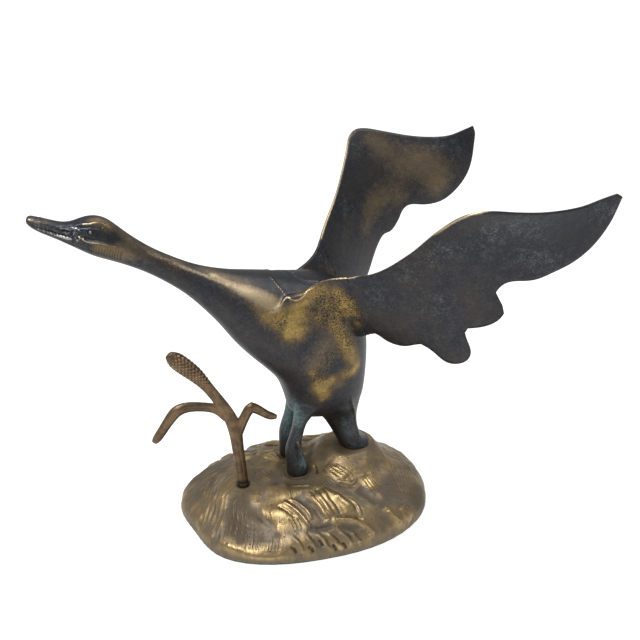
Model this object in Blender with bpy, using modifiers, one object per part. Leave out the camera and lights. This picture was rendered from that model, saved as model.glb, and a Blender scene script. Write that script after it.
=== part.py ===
"""A cast bronze goose taking off from a grassy brass mound, with a reed beside it.

Lengths are in metres, with +Z up. The goose faces -X and its left wing is at -Y.
The origin is under the goose, on the underside of the felt pad.
"""

import math

import bmesh
import bpy
import numpy as np
from mathutils import Matrix, Vector

MM = 0.001

# Points this close are one, after a Boolean and along a turned piece's own axis
WELD = 0.003 * MM
AXIS_WELD = 0.01 * MM

# Gap that two touching castings keep, and the clearance of a pin in its hole
SEAT_GAP = 0.3 * MM
HOLE_CLEARANCE = 0.3 * MM

# Mound: a hollow casting, open below, on a felt pad
FELT_THICKNESS = 1.5 * MM
FELT_INSET = 2.0 * MM
BASE_LENGTH = 208 * MM
BASE_WIDTH = 146 * MM
BASE_HEIGHT = 42 * MM
BASE_CENTRE = Vector((0.2 * MM, -9.2 * MM))
BASE_YAW = math.radians(-1)
BASE_WALL = 4.5 * MM
RIM_HEIGHT = 4 * MM
MOUND_SIDES = 56
MOUND_LEVELS = 12
OUTLINE_POWER = 2.27
DOME_POWER = 0.42
CROWN_FALL = 0.3
CROWN_TILT = 0.16
CUT_BACK = 0.085
CUT_ANGLE = math.radians(-162.5)
CUT_SPREAD = math.radians(22)
HUMMOCK_HEIGHT = 1.6 * MM
HUMMOCK_WAVES = (7.0, 2.6, 5.5, 1.8)
FLOOR_TRIM = 0.5 * MM

# Flat seats on the mound, where the feet, the tail and the reed stand
FOOT_SEAT_Z = 35 * MM
TAIL_SEAT_Z = 48 * MM
REED_SEAT_Z = 33.5 * MM
FOOT_X = -6 * MM
FOOT_OUT = 13.5 * MM
TAIL_X = 42 * MM
REED_X = -51 * MM
REED_Y = -16 * MM
SEAT_RADIUS = 12 * MM
TAIL_SEAT_RADIUS = 19 * MM
SEAT_BLEND = 16 * MM
SEAT_STOCK = 0.8 * MM
SEAT_CUT_MARGIN = 1.2 * MM
CUTTER_OVERRUN = 4 * MM

# Goose: each station is the under point, the upper point (x and z), the half width and
# how square the section is, from the tip of the bill to the bottom of the trunk
TRUNK = (
    (-183.0, 257.2, -182.6, 261.5, 3.2, 2.0),
    (-180.6, 254.4, -178.6, 261.9, 5.6, 2.1),
    (-174.5, 250.2, -171.0, 259.6, 6.6, 2.2),
    (-166.0, 245.6, -162.0, 256.6, 7.2, 2.2),
    (-159.6, 241.4, -155.2, 256.4, 8.4, 2.1),
    (-153.2, 237.4, -148.3, 258.8, 10.2, 2.0),
    (-146.5, 233.0, -140.5, 259.6, 11.6, 2.0),
    (-139.5, 229.6, -132.2, 257.0, 12.0, 2.0),
    (-128.5, 225.2, -119.8, 245.4, 10.2, 2.0),
    (-113.5, 218.0, -105.0, 233.8, 8.4, 2.0),
    (-99.5, 209.2, -89.4, 224.8, 8.8, 2.0),
    (-85.5, 198.4, -73.2, 217.2, 11.0, 2.0),
    (-74.2, 186.8, -53.0, 211.4, 15.6, 2.1),
    (-62.5, 172.8, -30.0, 207.5, 22.5, 2.3),
    (-52.3, 158.3, -4.0, 203.0, 28.0, 2.7),
    (-41.0, 145.0, 26.0, 198.0, 30.5, 3.0),
    (-29.0, 132.3, 46.0, 182.0, 31.5, 2.9),
    (-18.8, 119.0, 53.0, 152.0, 30.0, 2.4),
    (-13.0, 102.5, 54.0, 122.0, 26.5, 2.1),
    (-10.0, 90.0, 52.0, 98.0, 21.5, 2.1),
    (-4.0, 83.0, 47.0, 85.0, 14.0, 2.0),
)
TRUNK_RINGS = 42
TRUNK_SIDES = 26

# Legs: x, distance from the middle, z, half length and half width of each section
LEG = (
    (8.0, 12.5, 103.0, 13.0, 8.0),
    (0.5, 14.2, 92.0, 8.6, 8.0),
    (-3.4, 14.8, 84.0, 5.6, 6.4),
    (-5.8, 15.0, 75.0, 5.2, 5.6),
    (-8.2, 14.8, 66.0, 5.9, 5.8),
    (-9.2, 14.4, 58.0, 6.6, 6.2),
    (-7.4, 13.9, 49.5, 8.0, 7.0),
    (-6.0, 13.6, 41.0, 8.8, 7.4),
    (-6.0, 13.5, 36.5, 8.8, 7.4),
)
FAR_KNEE_SHIFT = -1.5 * MM
LEG_RINGS = 15
LEG_SIDES = 16
LEG_SQUARENESS = 2.3

# Tail: x and z at the front and at the back of each section, and its half width
TAIL = (
    (3.0, 104.0, 50.0, 108.0, 20.0),
    (10.0, 86.0, 50.0, 92.0, 16.5),
    (19.0, 76.0, 48.2, 80.0, 11.5),
    (24.5, 66.5, 48.0, 69.0, 10.0),
    (29.0, 57.5, 50.5, 58.5, 11.5),
    (32.2, 51.0, 56.0, 51.0, 13.8),
    (33.0, 49.0, 59.0, 49.0, 14.5),
)
TAIL_RINGS = 14
TAIL_SIDES = 20
TAIL_SQUARENESS = 2.2

# Eyes: a bead on each side of the head
EYE = Vector((-143.0 * MM, 9.0 * MM, 250.6 * MM))
EYE_RADIUS = 2.6 * MM
EYE_SEGMENTS = 14
EYE_RINGS = 8

# Wings: their outlines as x, distance from the middle, and z, from the root to the tip
LEFT_LEADING = (
    (-16.0, 10.0, 176.0),
    (-21.0, 22.0, 188.0),
    (-14.5, 26.5, 197.0),
    (-3.5, 29.5, 198.5),
    (14.5, 38.0, 210.5),
    (39.0, 52.0, 219.5),
    (56.0, 75.0, 240.5),
    (65.0, 98.0, 261.0),
    (73.0, 115.0, 274.8),
    (80.0, 120.5, 279.2),
    (90.0, 120.5, 279.8),
    (106.0, 118.5, 277.2),
    (134.0, 114.0, 273.2),
    (161.0, 110.0, 272.8),
    (174.0, 109.0, 276.2),
    (184.5, 109.0, 279.2),
)
RIGHT_LEADING = (
    (-14.0, 8.0, 176.0),
    (-10.0, 18.0, 188.0),
    (-2.0, 22.0, 194.0),
    (9.0, 27.0, 198.5),
    (21.0, 35.0, 204.0),
    (36.0, 53.0, 223.0),
    (52.5, 78.0, 242.5),
    (67.0, 103.0, 265.5),
    (73.5, 115.5, 277.5),
    (80.0, 120.5, 281.8),
    (90.0, 120.5, 282.2),
    (106.0, 118.5, 279.2),
    (134.0, 114.0, 274.6),
    (161.0, 110.0, 275.0),
    (174.0, 109.0, 279.0),
    (184.5, 109.0, 282.0),
)
LEADING_ANCHORS = (0, 4, 5, 8, 15)
LEFT_TRAILING = (
    (24.0, 10.0, 164.0),
    (36.0, 20.0, 160.0),
    (42.5, 28.5, 160.0),
    (49.0, 36.0, 166.5),
    (57.5, 46.0, 160.5),
    (66.5, 54.0, 159.5),
    (75.0, 62.5, 165.5),
    (82.5, 69.5, 161.0),
    (91.5, 76.5, 153.5),
    (99.5, 80.5, 157.0),
    (103.0, 84.5, 166.0),
    (98.5, 88.0, 178.0),
    (98.0, 89.5, 184.5),
    (109.5, 92.5, 188.0),
    (119.5, 94.5, 196.5),
    (118.0, 95.5, 205.5),
    (113.0, 94.8, 214.0),
    (119.0, 94.5, 221.5),
    (137.5, 95.0, 221.5),
    (150.5, 96.0, 225.5),
    (166.5, 97.0, 231.5),
    (179.0, 99.0, 241.5),
    (187.0, 102.5, 257.5),
    (189.0, 108.0, 277.0),
)
LEFT_TRAILING_ANCHORS = (0, 3, 6, 16, 23)
RIGHT_TRAILING = (
    (24.0, 8.0, 164.0),
    (36.0, 19.0, 160.0),
    (43.0, 29.0, 160.0),
    (50.0, 37.0, 163.0),
    (58.0, 46.0, 160.0),
    (66.0, 55.0, 160.0),
    (73.5, 63.0, 164.0),
    (80.0, 70.5, 170.0),
    (86.5, 80.0, 181.0),
    (92.0, 87.0, 190.0),
    (98.0, 91.0, 196.5),
    (106.5, 93.8, 197.5),
    (114.0, 95.5, 206.5),
    (117.5, 95.3, 214.0),
    (123.5, 94.5, 218.5),
    (141.5, 95.5, 217.0),
    (157.0, 96.5, 220.0),
    (171.5, 98.5, 232.5),
    (181.0, 102.5, 248.0),
    (186.8, 108.0, 274.0),
)
RIGHT_TRAILING_ANCHORS = (0, 3, 6, 13, 19)
WING_PANEL_STEPS = (8, 8, 18, 18)
CHORD_STEPS = 6
WING_EDGE = 1.1 * MM
WING_THICKNESS = 2.6 * MM
WING_ROOT_THICKNESS = 12 * MM
WING_ROOT_EDGE = 7 * MM
WING_CAMBER = 5 * MM
ROOT_STEPS = 19
KEPT_STEPS = 7
DEPTH_UNIT = 100 * MM
SLOPE_STEP = 0.1 * MM
EDGE_SWELL_POWER = 0.7

# Wing joint: the flat face where a wing meets its stub, and the tenon that holds it
JOINT_POINT = Vector((34.5 * MM, 37.5 * MM, 187.5 * MM))
JOINT_NORMAL = Vector((0.729, 0.673, 0.122))
TENON_WIDTH = 16 * MM
TENON_THICKNESS = 3 * MM
TENON_DEPTH = 8 * MM

# Reed: x and z of the middle of each stretch, and half its width there
REED_STEM = (
    (-51.0, 34.0, 4.4),
    (-52.2, 51.0, 4.6),
    (-53.6, 66.0, 4.8),
    (-54.6, 80.0, 5.2),
    (-57.0, 93.0, 5.4),
    (-61.8, 105.0, 4.8),
    (-68.4, 117.0, 4.3),
    (-75.8, 129.0, 4.6),
    (-82.4, 138.0, 6.0),
    (-90.6, 146.6, 6.7),
    (-96.8, 153.0, 6.2),
    (-100.4, 157.0, 3.2),
)
REED_LEFT_LEAF = (
    (-60.5, 97.0, 3.8),
    (-68.6, 106.3, 4.0),
    (-80.6, 110.2, 3.9),
    (-91.5, 111.2, 4.4),
    (-98.2, 109.0, 4.8),
    (-104.6, 101.5, 4.2),
    (-110.2, 93.4, 3.8),
    (-114.8, 87.0, 3.5),
    (-116.8, 84.5, 2.2),
)
REED_RIGHT_LEAF = (
    (-54.5, 78.0, 3.8),
    (-50.0, 90.0, 4.2),
    (-45.6, 99.0, 4.2),
    (-42.0, 103.6, 4.6),
    (-36.4, 100.4, 3.8),
    (-30.2, 95.4, 3.4),
    (-25.8, 93.0, 3.2),
    (-22.2, 92.0, 1.8),
)
REED_FLATNESS = 0.68
REED_TENON_RADIUS = 2.5 * MM
REED_SHOULDER_DROP = 1.2 * MM
REED_POCKET_MARGIN = 1.0 * MM
REED_TENON_OVERLAP = 3 * MM
REED_BOSS_RADIUS = 9 * MM
REED_BOSS_DROP = 3.5 * MM
REED_BOSS_OVERLAP = 2 * MM

# Fasteners inside the mound
SCREW_RADIUS = 2.5 * MM
SCREW_GRIP = 12 * MM
SCREW_WALL = 3.2 * MM
SPOT_FACE_MARGIN = 0.6 * MM
SCREW_HEAD_RADIUS = 4.6 * MM
SCREW_HEAD_HEIGHT = 3.4 * MM
SCREW_SLOT_WIDTH = 1.2 * MM
SCREW_SLOT_DEPTH = 1.4 * MM
SCREW_CHAMFER = 0.6 * MM
SCREW_HEAD_CROWN = ((1.0, 1.6 * MM), (0.8, 0.4 * MM), (0.5, 0.0))
WASHER_RADIUS = 5.6 * MM
WASHER_THICKNESS = 1.0 * MM
NUT_ACROSS_FLATS = 8 * MM
NUT_HEIGHT = 4 * MM
THREAD_BEYOND_NUT = 2 * MM
DRILL_SIDES = 24
WASHER_SIDES = 28
SCREW_SIDES = 20


for old in list(bpy.data.objects):
    bpy.data.objects.remove(old, do_unlink=True)

parts = bpy.data.collections.new("goose_sculpture")
cutters = bpy.data.collections.new("cutters")
bpy.context.scene.collection.children.link(parts)
bpy.context.scene.collection.children.link(cutters)
cutters.hide_render = True


def metal(name, colour, roughness, metallic=1.0):
    """A plain finish in the piece's own colour."""
    made = bpy.data.materials.new(name)
    made.use_nodes = True
    shader = made.node_tree.nodes["Principled BSDF"]
    shader.inputs["Base Color"].default_value = (*colour, 1.0)
    shader.inputs["Metallic"].default_value = metallic
    shader.inputs["Roughness"].default_value = roughness
    return made


def add_object(name, mesh, collection, finish=None):
    """Puts a mesh in the scene, as a part or as a hidden cutter."""
    made = bpy.data.objects.new(name, mesh)
    collection.objects.link(made)
    if finish is not None:
        mesh.materials.append(finish)
    if collection is cutters:
        made.hide_render = True
        made.display_type = "WIRE"
    return made


def finish_mesh(name, bm, collection, finish=None, sharp_angle=50):
    """Closes up a bmesh, shades it smooth and puts it in the scene."""
    bmesh.ops.recalc_face_normals(bm, faces=bm.faces)
    mesh = bpy.data.meshes.new(name)
    bm.to_mesh(mesh)
    bm.free()
    mesh.shade_smooth()
    mesh.set_sharp_from_angle(angle=math.radians(sharp_angle))
    return add_object(name, mesh, collection, finish)


def apply_modifiers(piece):
    """Bakes the piece's modifiers, so that it can be cut or joined again."""
    graph = bpy.context.evaluated_depsgraph_get()
    baked = bpy.data.meshes.new_from_object(piece.evaluated_get(graph))
    piece.modifiers.clear()
    piece.data = baked


def combine(piece, other, operation):
    """Joins a helper to the piece, or cuts it away, and bakes the result."""
    step = piece.modifiers.new(operation.lower(), "BOOLEAN")
    step.operation = operation
    step.solver = "EXACT"
    step.object = other
    apply_modifiers(piece)
    bpy.data.objects.remove(other, do_unlink=True)
    bm = bmesh.new()
    bm.from_mesh(piece.data)
    bmesh.ops.remove_doubles(bm, verts=bm.verts, dist=WELD)
    bmesh.ops.dissolve_degenerate(bm, edges=bm.edges, dist=WELD)
    bm.to_mesh(piece.data)
    bm.free()


def smooth_curve(points, anchors=None, steps=None, count=None):
    """Rows along a smooth curve through the given rows.

    With anchors, each stretch between two of them gets its own number of steps.
    """
    knots = np.array(points, float)
    gaps = np.sqrt(np.linalg.norm(np.diff(knots[:, :3], axis=0), axis=1))
    at_knot = np.concatenate([[0.0], np.cumsum(gaps)])
    slopes = np.gradient(knots, at_knot, axis=0)
    if anchors is None:
        wanted = np.linspace(0.0, at_knot[-1], count)
    else:
        stretches = [
            np.linspace(at_knot[first], at_knot[last], number, endpoint=False)
            for first, last, number in zip(anchors, anchors[1:], steps)
        ]
        wanted = np.append(np.concatenate(stretches), at_knot[-1])
    index = np.clip(np.searchsorted(at_knot, wanted, side="right") - 1, 0, len(knots) - 2)
    gap = (at_knot[index + 1] - at_knot[index])[:, None]
    u = (wanted - at_knot[index])[:, None] / gap
    return (
        (2 * u**3 - 3 * u**2 + 1) * knots[index]
        + (u**3 - 2 * u**2 + u) * gap * slopes[index]
        + (3 * u**2 - 2 * u**3) * knots[index + 1]
        + (u**3 - u**2) * gap * slopes[index + 1]
    )


def round_section(middle, up, side, sides, power=2.0):
    """The points of an oval, or of a squarer one, around its middle."""
    ring = []
    for step in range(sides):
        angle = 2 * math.pi * step / sides
        rise = math.copysign(abs(math.sin(angle)) ** (2 / power), math.sin(angle))
        reach = math.copysign(abs(math.cos(angle)) ** (2 / power), math.cos(angle))
        ring.append(middle + up * rise + side * reach)
    return ring


def loft(rings):
    """A closed skin over rings of as many points each, with a fan at either end."""
    bm = bmesh.new()
    rows = [[bm.verts.new(point) for point in ring] for ring in rings]
    for row, after in zip(rows, rows[1:]):
        for k in range(len(row)):
            j = (k + 1) % len(row)
            bm.faces.new((row[k], row[j], after[j], after[k]))
    for row in (rows[0], rows[-1]):
        middle = bm.verts.new(sum((vert.co for vert in row), Vector()) / len(row))
        for k in range(len(row)):
            bm.faces.new((middle, row[k], row[(k + 1) % len(row)]))
    return bm


def turned(name, profile, steps, location, collection, finish=None):
    """A piece turned about its own Z axis, from (radius, z) pairs that run down its outer side."""
    bm = bmesh.new()
    verts = [bm.verts.new((radius, 0, z)) for radius, z in profile]
    for first, second in zip(verts, verts[1:]):
        bm.edges.new((first, second))
    if profile[0] == profile[-1]:
        bmesh.ops.remove_doubles(bm, verts=bm.verts, dist=WELD)
    mesh = bpy.data.meshes.new(name)
    bm.to_mesh(mesh)
    bm.free()
    made = add_object(name, mesh, collection, finish)
    made.location = location
    spin = made.modifiers.new("turn", "SCREW")
    spin.steps = steps
    spin.render_steps = steps
    spin.use_merge_vertices = True
    spin.merge_threshold = AXIS_WELD
    spin.use_smooth_shade = True
    return made


def plan_outline(angle):
    """The mound's outline in plan, as shares of its half sizes, before its corner is drawn in."""
    along = math.copysign(abs(math.cos(angle)) ** (2 / OUTLINE_POWER), math.cos(angle))
    across = math.copysign(abs(math.sin(angle)) ** (2 / OUTLINE_POWER), math.sin(angle))
    return along, across


def draw_in(along, across):
    """How far the outline stands in, as a share, towards one corner of the mound."""
    away = math.atan2(across, along) - CUT_ANGLE
    away = (away + math.pi) % (2 * math.pi) - math.pi
    return 1 - CUT_BACK * math.exp(-((away / CUT_SPREAD) ** 2))


def base_axes(x, y):
    """Distances along and across the mound from its middle, as shares of its half sizes."""
    along = (x - BASE_CENTRE.x) * math.cos(BASE_YAW) + (y - BASE_CENTRE.y) * math.sin(BASE_YAW)
    across = (y - BASE_CENTRE.y) * math.cos(BASE_YAW) - (x - BASE_CENTRE.x) * math.sin(BASE_YAW)
    along /= BASE_LENGTH / 2
    across /= BASE_WIDTH / 2
    shrink = draw_in(along, across)
    return along / shrink, across / shrink


def base_point(along, across):
    """The place in plan of the given shares of the mound's half sizes."""
    shrink = draw_in(along, across)
    u = along * shrink * BASE_LENGTH / 2
    v = across * shrink * BASE_WIDTH / 2
    x = BASE_CENTRE.x + u * math.cos(BASE_YAW) - v * math.sin(BASE_YAW)
    y = BASE_CENTRE.y + u * math.sin(BASE_YAW) + v * math.cos(BASE_YAW)
    return x, y


def seats():
    """Each flat seat on the mound: its middle, its height and its radius."""
    return (
        (FOOT_X, -FOOT_OUT, FOOT_SEAT_Z, SEAT_RADIUS),
        (FOOT_X, FOOT_OUT, FOOT_SEAT_Z, SEAT_RADIUS),
        (TAIL_X, 0.0, TAIL_SEAT_Z, TAIL_SEAT_RADIUS),
        (REED_X, REED_Y, REED_SEAT_Z, SEAT_RADIUS),
    )


def hummocks(along, across):
    """Low swellings of the turf, as waves that cross the mound."""
    long_wave = math.sin(HUMMOCK_WAVES[0] * along + HUMMOCK_WAVES[1] * across)
    cross_wave = math.cos(HUMMOCK_WAVES[2] * across - HUMMOCK_WAVES[3] * along)
    return HUMMOCK_HEIGHT * long_wave * cross_wave


def mound_height(x, y):
    """Height of the mound's outer face over a place in plan, with stock left on its seats."""
    along, across = base_axes(x, y)
    reach = abs(along) ** OUTLINE_POWER + abs(across) ** OUTLINE_POWER
    fall = max(0.0, 1.0 - reach)
    crown = 1 + CROWN_TILT * along - CROWN_FALL * (along**2 + across**2)
    top = (BASE_HEIGHT - FELT_THICKNESS - RIM_HEIGHT) * crown
    height = FELT_THICKNESS + RIM_HEIGHT + top * fall**DOME_POWER
    height += hummocks(along, across) * min(1.0, 3 * fall)
    for seat_x, seat_y, seat_z, radius in seats():
        away = math.hypot(x - seat_x, y - seat_y)
        blend = min(1.0, max(0.0, (away - radius) / SEAT_BLEND))
        blend = blend * blend * (3 - 2 * blend)
        rough = seat_z + SEAT_STOCK
        height = rough + (height - rough) * blend
    return height


def flatten_floor(mound, floor):
    """Trims what the wall's thickening put below the rim, so that the mound stands flat."""
    bm = bmesh.new()
    bm.from_mesh(mound.data)
    for vert in bm.verts:
        if vert.co.z < floor + FLOOR_TRIM:
            vert.co.z = floor
    bm.to_mesh(mound.data)
    bm.free()


def make_mound(finish):
    """The turf mound: a domed skin on an oval plan, thickened inwards to a cast wall."""
    bm = bmesh.new()
    rows = []
    for level in range(MOUND_LEVELS):
        share = math.sin(0.5 * math.pi * (level + 1) / MOUND_LEVELS)
        row = []
        for k in range(MOUND_SIDES):
            along, across = plan_outline(2 * math.pi * k / MOUND_SIDES)
            x, y = base_point(along * share, across * share)
            row.append(bm.verts.new((x, y, mound_height(x, y))))
        rows.append(row)
    floor = FELT_THICKNESS + SEAT_GAP
    rows.append([bm.verts.new((vert.co.x, vert.co.y, floor)) for vert in rows[-1]])
    for row, after in zip(rows, rows[1:]):
        for k in range(MOUND_SIDES):
            j = (k + 1) % MOUND_SIDES
            bm.faces.new((row[k], row[j], after[j], after[k]))
    x, y = base_point(0.0, 0.0)
    crest = bm.verts.new((x, y, mound_height(x, y)))
    for k in range(MOUND_SIDES):
        bm.faces.new((crest, rows[0][k], rows[0][(k + 1) % MOUND_SIDES]))
    bmesh.ops.recalc_face_normals(bm, faces=bm.faces)
    if sum(face.normal.z for face in bm.faces) < 0:
        bmesh.ops.reverse_faces(bm, faces=bm.faces)
    mesh = bpy.data.meshes.new("mound_base")
    bm.to_mesh(mesh)
    bm.free()
    mesh.shade_smooth()
    mound = add_object("mound_base", mesh, parts, finish)
    wall = mound.modifiers.new("wall", "SOLIDIFY")
    wall.thickness = BASE_WALL
    wall.offset = -1.0
    wall.use_even_offset = True
    apply_modifiers(mound)
    flatten_floor(mound, floor)
    return mound


def make_felt(finish):
    """A felt sheet under the whole mound, held a little inside its rim."""
    inset_length = 1 - FELT_INSET / (BASE_LENGTH / 2)
    inset_width = 1 - FELT_INSET / (BASE_WIDTH / 2)
    rings = []
    for z in (0.0, FELT_THICKNESS):
        ring = []
        for k in range(MOUND_SIDES):
            along, across = plan_outline(2 * math.pi * k / MOUND_SIDES)
            x, y = base_point(along * inset_length, across * inset_width)
            ring.append(Vector((x, y, z)))
        rings.append(ring)
    return finish_mesh("felt_pad", loft(rings), parts, finish)


def make_trunk(finish):
    """Bill, head, neck and trunk in one sweep of oval sections."""
    rings = []
    for low_x, low_z, high_x, high_z, half_width, squareness in smooth_curve(TRUNK, count=TRUNK_RINGS):
        low = Vector((low_x, 0, low_z)) * MM
        high = Vector((high_x, 0, high_z)) * MM
        side = Vector((0, -half_width, 0)) * MM
        middle = (low + high) / 2
        rings.append(round_section(middle, (high - low) / 2, side, TRUNK_SIDES, squareness))
    return finish_mesh("goose_body", loft(rings), parts, finish)


def make_leg(side):
    """A shank that flares into the belly above and into a block of a foot below."""
    rings = []
    bottom = FOOT_SEAT_Z + SEAT_GAP
    height = LEG[0][2] * MM - bottom
    for x, out, z, half_length, half_width in smooth_curve(LEG, count=LEG_RINGS) * MM:
        knee = math.sin(math.pi * min(1.0, max(0.0, (z - bottom) / height)))
        shift = FAR_KNEE_SHIFT * knee**2 if side > 0 else 0.0
        middle = Vector((x - shift, side * out, z))
        reach = Vector((half_length, 0, 0))
        spread = Vector((0, half_width, 0))
        rings.append(round_section(middle, reach, spread, LEG_SIDES, LEG_SQUARENESS))
    sole = [Vector((point.x, point.y, bottom)) for point in rings[-1]]
    rings.append(sole)
    return finish_mesh("leg", loft(rings), cutters)


def make_tail():
    """The tail: a column that fans out where it meets the mound."""
    bottom = TAIL_SEAT_Z + SEAT_GAP
    lowest = bottom + MM
    rings = []
    for front_x, front_z, back_x, back_z, half_width in smooth_curve(TAIL, count=TAIL_RINGS) * MM:
        front = Vector((front_x, 0, max(front_z, lowest)))
        back = Vector((back_x, 0, max(back_z, lowest)))
        side = Vector((0, half_width, 0))
        middle = (front + back) / 2
        rings.append(round_section(middle, (back - front) / 2, side, TAIL_SIDES, TAIL_SQUARENESS))
    rings.append([Vector((point.x, point.y, bottom)) for point in rings[-1]])
    return finish_mesh("tail", loft(rings), cutters)


def mirrored(vector, side):
    """The vector itself on the right side of the goose, or its mirror image on the left."""
    return Vector((vector.x, side * vector.y, vector.z))


def make_eye(side):
    """A bead that stands a little proud of the head."""
    bm = bmesh.new()
    bmesh.ops.create_uvsphere(bm, u_segments=EYE_SEGMENTS, v_segments=EYE_RINGS, radius=EYE_RADIUS)
    bmesh.ops.translate(bm, verts=bm.verts, vec=mirrored(EYE, side))
    return finish_mesh("eye", bm, cutters)


def powers(points):
    """Powers of x and z up to the fourth, for each point given in metres."""
    x = points[..., 0] / DEPTH_UNIT
    z = points[..., 2] / DEPTH_UNIT
    return np.stack([x**a * z**b for a in range(5) for b in range(5 - a)], axis=-1)


def smooth_depth(grid):
    """Evens out the distance of a wing's middle face from the goose's middle plane.

    It returns the evened grid and the unit vector at each point towards the goose.
    """
    terms = powers(grid)
    flat = terms.reshape(-1, terms.shape[-1])
    share = np.linalg.lstsq(flat, grid[..., 1].ravel(), rcond=None)[0]
    evened = grid.copy()
    evened[..., 1] = terms @ share
    slope_x = (powers(grid + (SLOPE_STEP, 0, 0)) @ share - terms @ share) / SLOPE_STEP
    slope_z = (powers(grid + (0, 0, SLOPE_STEP)) @ share - terms @ share) / SLOPE_STEP
    inward = np.stack([slope_x, -np.ones_like(slope_x), slope_z], axis=-1)
    return evened, inward / np.linalg.norm(inward, axis=-1, keepdims=True)


def wing_rings(side, leading, trailing, anchors):
    """Sections of a wing from its root to its tip, each a thin loop round one chord."""
    front = smooth_curve(leading, LEADING_ANCHORS, WING_PANEL_STEPS) * MM
    back = smooth_curve(trailing, anchors, WING_PANEL_STEPS) * MM
    t = np.linspace(0.0, 1.0, CHORD_STEPS + 1)
    grid = front[:, None] * (1 - t)[None, :, None] + back[:, None] * t[None, :, None]
    root_share = np.maximum(0.0, 1.0 - np.arange(len(front)) / ROOT_STEPS)
    grid[..., 1] -= WING_CAMBER * (1 - root_share)[:, None] * (4 * t * (1 - t))[None]
    evened, inward = smooth_depth(grid)
    kept = np.maximum(0.0, 1.0 - np.arange(len(front)) / KEPT_STEPS)[:, None, None]
    grid = grid * kept + evened * (1 - kept)
    chord = np.linalg.norm(back - front, axis=-1)
    thick = WING_THICKNESS + (WING_ROOT_THICKNESS - WING_THICKNESS) * root_share
    thick = np.minimum(thick, 0.5 * chord)
    edge = WING_EDGE + (WING_ROOT_EDGE - WING_EDGE) * root_share**2
    swell = np.maximum(0.0, np.sin(math.pi * t)) ** EDGE_SWELL_POWER
    half = 0.5 * (edge[:, None] + (thick - edge)[:, None] * swell[None])
    outer = grid - inward * half[..., None]
    inner = grid + inward * half[..., None]
    loops = np.concatenate([outer, inner[:, ::-1]], axis=1) * np.array((1.0, side, 1.0))
    return [[Vector(point) for point in loop] for loop in loops]


def split_wing(name, rings, side, keep_outer, gap):
    """The part of a wing on one side of its joint, with the cut closed by a flat face."""
    normal = mirrored(JOINT_NORMAL, side).normalized()
    point = mirrored(JOINT_POINT, side) + normal * gap
    bm = loft(rings)
    bmesh.ops.recalc_face_normals(bm, faces=bm.faces)
    everything = bm.verts[:] + bm.edges[:] + bm.faces[:]
    bmesh.ops.bisect_plane(
        bm,
        geom=everything,
        dist=0.0001 * MM,
        plane_co=point,
        plane_no=normal,
        clear_inner=keep_outer,
        clear_outer=not keep_outer,
    )
    open_edges = [edge for edge in bm.edges if edge.is_boundary]
    bmesh.ops.holes_fill(bm, edges=open_edges, sides=0)
    bmesh.ops.triangulate(bm, faces=[face for face in bm.faces if len(face.verts) > 4])
    return finish_mesh(name, bm, cutters if not keep_outer else parts)


def joint_frame(rings, side):
    """The middle of a wing's section at its joint, the way the wing runs there, and its chord."""
    normal = mirrored(JOINT_NORMAL, side).normalized()
    middles = [sum(ring, Vector()) / len(ring) for ring in rings]
    beyond = [(middle - mirrored(JOINT_POINT, side)).dot(normal) for middle in middles]
    after = next(i for i, distance in enumerate(beyond) if distance > 0)
    share = beyond[after - 1] / (beyond[after - 1] - beyond[after])
    middle = middles[after - 1].lerp(middles[after], share)
    run = (middles[after] - middles[after - 2]).normalized()
    chord = rings[after][CHORD_STEPS] - rings[after][0]
    return middle, run, (chord - run * chord.dot(run)).normalized()


def tenon_block(name, frame, clearance):
    """The bar that runs from the wing into its stub, or the larger hole for it."""
    middle, run, chord = frame
    across = run.cross(chord)
    reach_in = TENON_DEPTH + clearance
    reach_out = TENON_THICKNESS
    width = TENON_WIDTH + 2 * clearance
    size = Vector((width, TENON_THICKNESS + 2 * clearance, reach_in + reach_out))
    turn = Matrix((chord, across, run)).transposed().to_4x4()
    place = Matrix.Translation(middle + run * (reach_out - reach_in) / 2)
    bm = bmesh.new()
    bmesh.ops.create_cube(bm, size=1.0)
    bmesh.ops.scale(bm, verts=bm.verts, vec=size)
    bmesh.ops.transform(bm, matrix=place @ turn, verts=bm.verts)
    return finish_mesh(name, bm, cutters)


def make_wing(name, side, leading, trailing, anchors, finish):
    """A wing with its tenon, and the stub and mortise that the body carries for it."""
    rings = wing_rings(side, leading, trailing, anchors)
    frame = joint_frame(rings, side)
    wing = split_wing(name, rings, side, True, SEAT_GAP)
    wing.data.materials.append(finish)
    combine(wing, tenon_block("tenon", frame, 0.0), "UNION")
    stub = split_wing("stub", rings, side, False, 0.0)
    return stub, tenon_block("mortise", frame, HOLE_CLEARANCE)


def drill(name, x, y, radius, low, high):
    """A cutter for a round hole that stands upright."""
    profile = ((0.0, high), (radius, high), (radius, low), (0.0, low))
    hole = turned(name, profile, DRILL_SIDES, Vector((x, y, 0)), cutters)
    apply_modifiers(hole)
    return hole


def make_body(stubs, mortises, finish):
    """The goose's casting: trunk, tail, legs, eyes and wing stubs in one, drilled for its screws."""
    body = make_trunk(finish)
    combine(body, make_tail(), "UNION")
    for side in (-1, 1):
        combine(body, make_leg(side), "UNION")
        combine(body, make_eye(side), "UNION")
    for stub in stubs:
        combine(body, stub, "UNION")
    for mortise in mortises:
        combine(body, mortise, "DIFFERENCE")
    radius = SCREW_RADIUS + HOLE_CLEARANCE
    for x, y, seat_z, _ in seats()[:3]:
        thread = drill("thread", x, y, radius, seat_z - MM, seat_z + SCREW_GRIP + MM)
        combine(body, thread, "DIFFERENCE")
    return body


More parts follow.
